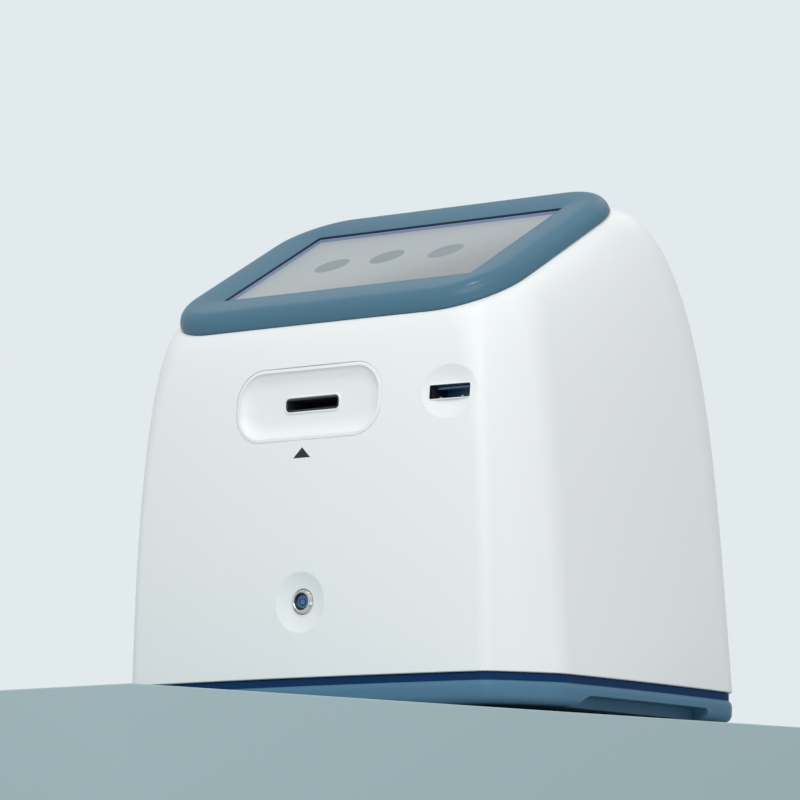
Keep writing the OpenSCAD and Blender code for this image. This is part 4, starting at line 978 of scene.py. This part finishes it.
class COUNTER_OT_base(bpy.types.Operator):
    """Build the blue base with its hand recesses and the dark ring above it, and dress the feet"""

    bl_idname = "counter.base"
    bl_label = "Base"

    def execute(self, context):
        loop = foot_loop()
        rings = self.flank(loop)
        tray = loft("base_body", rings, "base_blue")
        carve(tray, self.well(loop))
        posts = rods(POST_XY, FOOT_H, POST_R, RING_TOP - FOOT_H) + rods(PLATE_POST_XY, FOOT_H, POST_R, 16)
        carve(tray, *posts, how="UNION")
        cuts = [self.recess(1), self.recess(-1)]
        cuts += rods(POST_XY, -1, PILOT_R, 40) + rods(POST_XY, -1, HEAD_R, 8)
        cuts += rods(PLATE_POST_XY, 12, PILOT_R, 20) + rods(FOOT_XY, -1, FOOT_PEG_R, 9)
        cuts += [box("cut", (i * 8 - 1.25, -24, 0), (i * 8 + 1.25, 30, 8)) for i in range(-5, 6)]
        carve(tray, *cuts)
        Skin(rings, 10).lay(smooth(tray, 35))
        add(tray, "frame", "frame_blue", "base_tray")
        self.gap_ring(loop)
        dress_nodes(["rubber_feet", "base_screws"])
        return {"FINISHED"}

    @staticmethod
    def flank(loop):
        """Rings up the outside: a rounded foot, a nearly straight flank and a rounded top."""
        section = [(BASE_FOOT_IN - BASE_FOOT_W * sin(a), FOOT_H + BASE_FOOT_RISE * (1 - cos(a)))
                   for a in quarter(6)]
        section += [(0.22, 10.0), (BASE_FLANK_IN, BASE_FLANK_TOP)]
        section += [(BASE_FLANK_IN + BASE_TOP_W * (1 - cos(a)),
                     BASE_FLANK_TOP + (BASE_TOP - BASE_FLANK_TOP) * sin(a)) for a in quarter(8)[1:]]
        return stepped(loop, section)

    @staticmethod
    def well(loop):
        """Cutter of the hollow, which leaves walls behind the hand recesses."""
        rim = 1 + BASE_RIM
        well = loft("cavity", stepped(loop, ((rim, FOOT_H + BASE_FLOOR), (rim, 40))))
        near, far = HALF_W - GRIP_DEPTH - 3, HALF_W - 3
        start, end = GRIP_FRONT - 3, GRIP_FRONT + GRIP_LEN + 3
        return carve(well, box("block", (near, start, 0), (far, end, 60)),
                     box("block", (-far, start, 0), (-near, end, 60)))

    @staticmethod
    def recess(side):
        """Cutter of one hand recess: open below, sloped front end, round upper corners."""
        start, end = xy(GRIP_FRONT, 0), xy(GRIP_FRONT + GRIP_LEN, 0)
        crest, back = xy(GRIP_FRONT + GRIP_SLOPE, GRIP_TOP), xy(end.x, GRIP_TOP)
        line = [end] + fillet(end, back, crest, GRIP_BACK_R, 8)
        line += fillet(back, crest, start, GRIP_FRONT_R, 12) + [start]
        return loft("cut", [[Vector((side * x, p.x, p.y)) for p in line]
                            for x in (HALF_W - GRIP_DEPTH, HALF_W + 20)])

    @staticmethod
    def gap_ring(loop):
        """Dark ring in the gap, with a band that comes out nearly to the housing's edge."""
        low, step = BASE_TOP - 0.15, SHELL_Z - 0.3
        section = ((RING_BAND, low), (RING_BAND, step - 0.3), (RING_BAND + 0.3, step), (RING_INSET, step),
                   (RING_INSET, RING_TOP), (RING_INSET + RING_T, RING_TOP), (RING_INSET + RING_T, low))
        ring = loft("gap_ring", stepped(loop, section), "gap_navy", closed=True)
        add(smooth(ring), "frame", "gap_navy", "shadow_gap_ring")


class COUNTER_OT_button(bpy.types.Operator):
    """Build the push button's polished ring, its lit cap and the symbol on it"""

    bl_idname = "counter.button"
    bl_label = "Push button"

    def execute(self, context):
        where = on_front(PORT_X, BUTTON_SEAT_Y, BUTTON_Z)
        self.ring(where)
        self.cap(where)
        self.symbol(where @ Matrix.Translation((0, 0, BUTTON_FACE - 0.22)))
        dress_nodes(["button_spring", "button_nut"])
        return {"FINISHED"}

    @staticmethod
    def ring(where):
        """Barrel and polished flange, which falls to a small step round the cap."""
        bore, flange, barrel = BUTTON_CAP_D / 2 + 0.08, BUTTON_D / 2, BUTTON_BARREL_D / 2
        profile = [(0, -22), (barrel, -22), (barrel, 0), (flange, 0), (flange, 0.3), (flange - 0.05, 0.5),
                   (flange - 0.25, 0.75), (bore + 1.0, 2.5), (bore + 0.75, 2.6), (bore + 0.4, 2.52),
                   (bore + 0.12, 2.3), (bore, 1.9), (bore, -9), (0, -9)]
        ring = spun("button_ring", profile, where, "chrome_metal")
        add(smooth(ring, 35), "frame", "chrome_metal", "button_body")

    @staticmethod
    def cap(where):
        """Blue cap with a rounded dark rim round its lit face."""
        r, face = BUTTON_CAP_D / 2, BUTTON_FACE
        profile = [(0, -5), (r, -5), (r, face - 0.5), (r - 0.1, face - 0.15), (r - 0.4, face),
                   (r - 0.9, face), (r - 1.1, face - 0.25), (r - 1.4, face - 0.3),
                   (r * 0.4, face - 0.18), (0, face - 0.15)]
        cap = spun("button_face", profile, where, "blue_plastic")
        tint(cap, "cap_rim_dark", lambda c: hypot(c.x, c.y) > r - 1.25 and c.z > face - 0.6, where)
        add(smooth(cap, 35), "button", "blue_plastic", "button_cap")

    @staticmethod
    def symbol(where):
        """Ring open at the top with a bar in the opening."""
        bm = bmesh.new()
        w, radius, h = SYMBOL_W, SYMBOL_R, 0.14
        corners = ((-w / 2, -h), (w / 2, -h), (w / 2, h), (-w / 2, h))
        section = [bm.verts.new((radius + x, 0, z)) for x, z in corners]
        start, sweep = Matrix.Rotation(radians(125), 3, "Z"), radians(290)
        bmesh.ops.rotate(bm, verts=section, matrix=start)
        bmesh.ops.spin(bm, geom=[bm.faces.new(section)], axis=(0, 0, 1), angle=sweep, steps=40)
        bar = bmesh.ops.create_cube(bm, size=1)["verts"]
        bmesh.ops.scale(bm, vec=(w, 1.7, 2 * h), verts=bar)
        bmesh.ops.translate(bm, vec=(0, 1.45, 0), verts=bar)
        bmesh.ops.transform(bm, matrix=where, verts=bm.verts)
        add(to_object(bm, "button_symbol", "symbol_dark"), "button", "blue_plastic")


class COUNTER_OT_inside(bpy.types.Operator):
    """Dress the sockets, the microscope, the drive, the electronics and the fan"""

    bl_idname = "counter.inside"
    bl_label = "Sockets, microscope and electronics"

    def execute(self, context):
        dress_nodes([name for name in NODES if name not in DONE])
        return {"FINISHED"}


class COUNTER_OT_studio(bpy.types.Operator):
    """Build the bench, the lights and the camera at the photograph's angle"""

    bl_idname = "counter.studio"
    bl_label = "Studio"

    def execute(self, context):
        self.bench()
        self.lamps()
        self.surroundings()
        self.camera()
        return {"FINISHED"}

    @staticmethod
    def bench():
        """Pale bench top with a corner near the camera, as in the photograph."""
        corner = xy(*BENCH_CORNER)
        left, right = (corner + xy(*end) for end in BENCH_ENDS)
        outline = [left, corner, right, xy(left.x, BENCH_FAR)]
        bm = bmesh.new()
        face = bm.faces.new([bm.verts.new((p.x, p.y, -BENCH_T)) for p in outline])
        top = verts_of(bmesh.ops.extrude_face_region(bm, geom=[face])["geom"])
        bmesh.ops.translate(bm, vec=(0, 0, BENCH_T), verts=top)
        rim = [e for e in bm.edges if all(v.co.z > -1 for v in e.verts)]
        bmesh.ops.bevel(bm, geom=rim, offset=0.8, segments=3, profile=0.5, affect="EDGES", material=-1)
        smooth(to_object(bm, "bench", "bench_top"), 30)

    @staticmethod
    def lamps():
        for name, at, aim, width, height in LAMPS:
            lamp = bpy.data.lights.new(name, "AREA")
            lamp.shape, lamp.size, lamp.size_y = "RECTANGLE", width, height
            lamp.energy = getattr(look("studio"), name)
            obj = new_object(name, lamp)
            obj.location = at
            obj.rotation_euler = (Vector(aim) - Vector(at)).to_track_quat("-Z", "Y").to_euler()

    @staticmethod
    def surroundings():
        """Even light from all round. The camera, mirrors and glass see a paler background."""
        world = bpy.data.worlds.new("studio")
        bpy.context.scene.world = world
        world.use_nodes = True
        tree = world.node_tree
        light = tree.nodes["Background"]
        feed(tree, light.inputs, {"Color": srgb(243, 245, 245), "Strength": look("studio").sky})
        seen = node(tree, "Background", {"Color": srgb(226, 234, 237)})
        rays = node(tree, "LightPath").outputs
        mirrored = math_of(tree, "MAXIMUM", rays["Is Glossy Ray"], rays["Is Transmission Ray"])
        direct = math_of(tree, "MAXIMUM", rays["Is Camera Ray"], mirrored)
        mix = node(tree, "MixShader", {0: direct, 1: light.outputs[0], 2: seen.outputs[0]})
        feed(tree, tree.nodes["World Output"].inputs, {"Surface": mix.outputs[0]})

    @staticmethod
    def camera():
        """Camera solved from the photograph: bearing, height and roll of its view."""
        data = bpy.data.cameras.new("photo_view")
        data.sensor_fit, data.sensor_width = "HORIZONTAL", SENSOR
        data.lens = VIEW_FOCUS * SENSOR
        data.clip_start, data.clip_end = 0.01, 50
        bearing, lift, roll = (radians(a) for a in VIEW_TURN)
        turn = (Matrix.Rotation(bearing, 4, "Z") @ Matrix.Rotation(pi / 2 - lift, 4, "X")
                @ Matrix.Rotation(roll, 4, "Z"))
        cam = new_object("photo_view", data)
        cam.matrix_world = Matrix.Translation(Vector(VIEW_AT) * MM) @ turn
        bpy.context.scene.camera = cam


class COUNTER_PT_panel(bpy.types.Panel):
    """Sidebar panel that lists the builders and their settings"""

    bl_idname = "COUNTER_PT_panel"
    bl_label = "Cell Counter"
    bl_space_type = "VIEW_3D"
    bl_region_type = "UI"
    bl_category = "Cell Counter"

    def draw(self, context):
        for op in STEPS:
            self.layout.operator(op.bl_idname)
        for kind, group in GROUPS.items():
            for name in group.__annotations__:
                self.layout.prop(look(kind), name)


STEPS = (COUNTER_OT_housing, COUNTER_OT_port_plate, COUNTER_OT_screen, COUNTER_OT_base, COUNTER_OT_button,
         COUNTER_OT_inside, COUNTER_OT_studio)
GROUPS = {"housing": HousingLook, "fittings": FittingsLook, "studio": StudioLook}
SKIN = Skin(skin_rings(0, -FRAME_T, 60))


def register():
    for cls in (*GROUPS.values(), *STEPS, COUNTER_PT_panel):
        bpy.utils.register_class(cls)
    for kind, group in GROUPS.items():
        setattr(bpy.types.Scene, "counter_" + kind, PointerProperty(type=group))


def unregister():
    for kind in GROUPS:
        delattr(bpy.types.Scene, "counter_" + kind)
    for cls in (COUNTER_PT_panel, *reversed(STEPS), *GROUPS.values()):
        bpy.utils.unregister_class(cls)


def main():
    register()
    for step in STEPS:
        run = getattr(bpy.ops.counter, step.bl_idname.split(".")[1])
        if run() != {"FINISHED"}:
            raise RuntimeError(step.bl_label + " did not finish")
    scene = bpy.context.scene
    scene.view_settings.view_transform = "Standard"


if __name__ == "__main__":
    main()
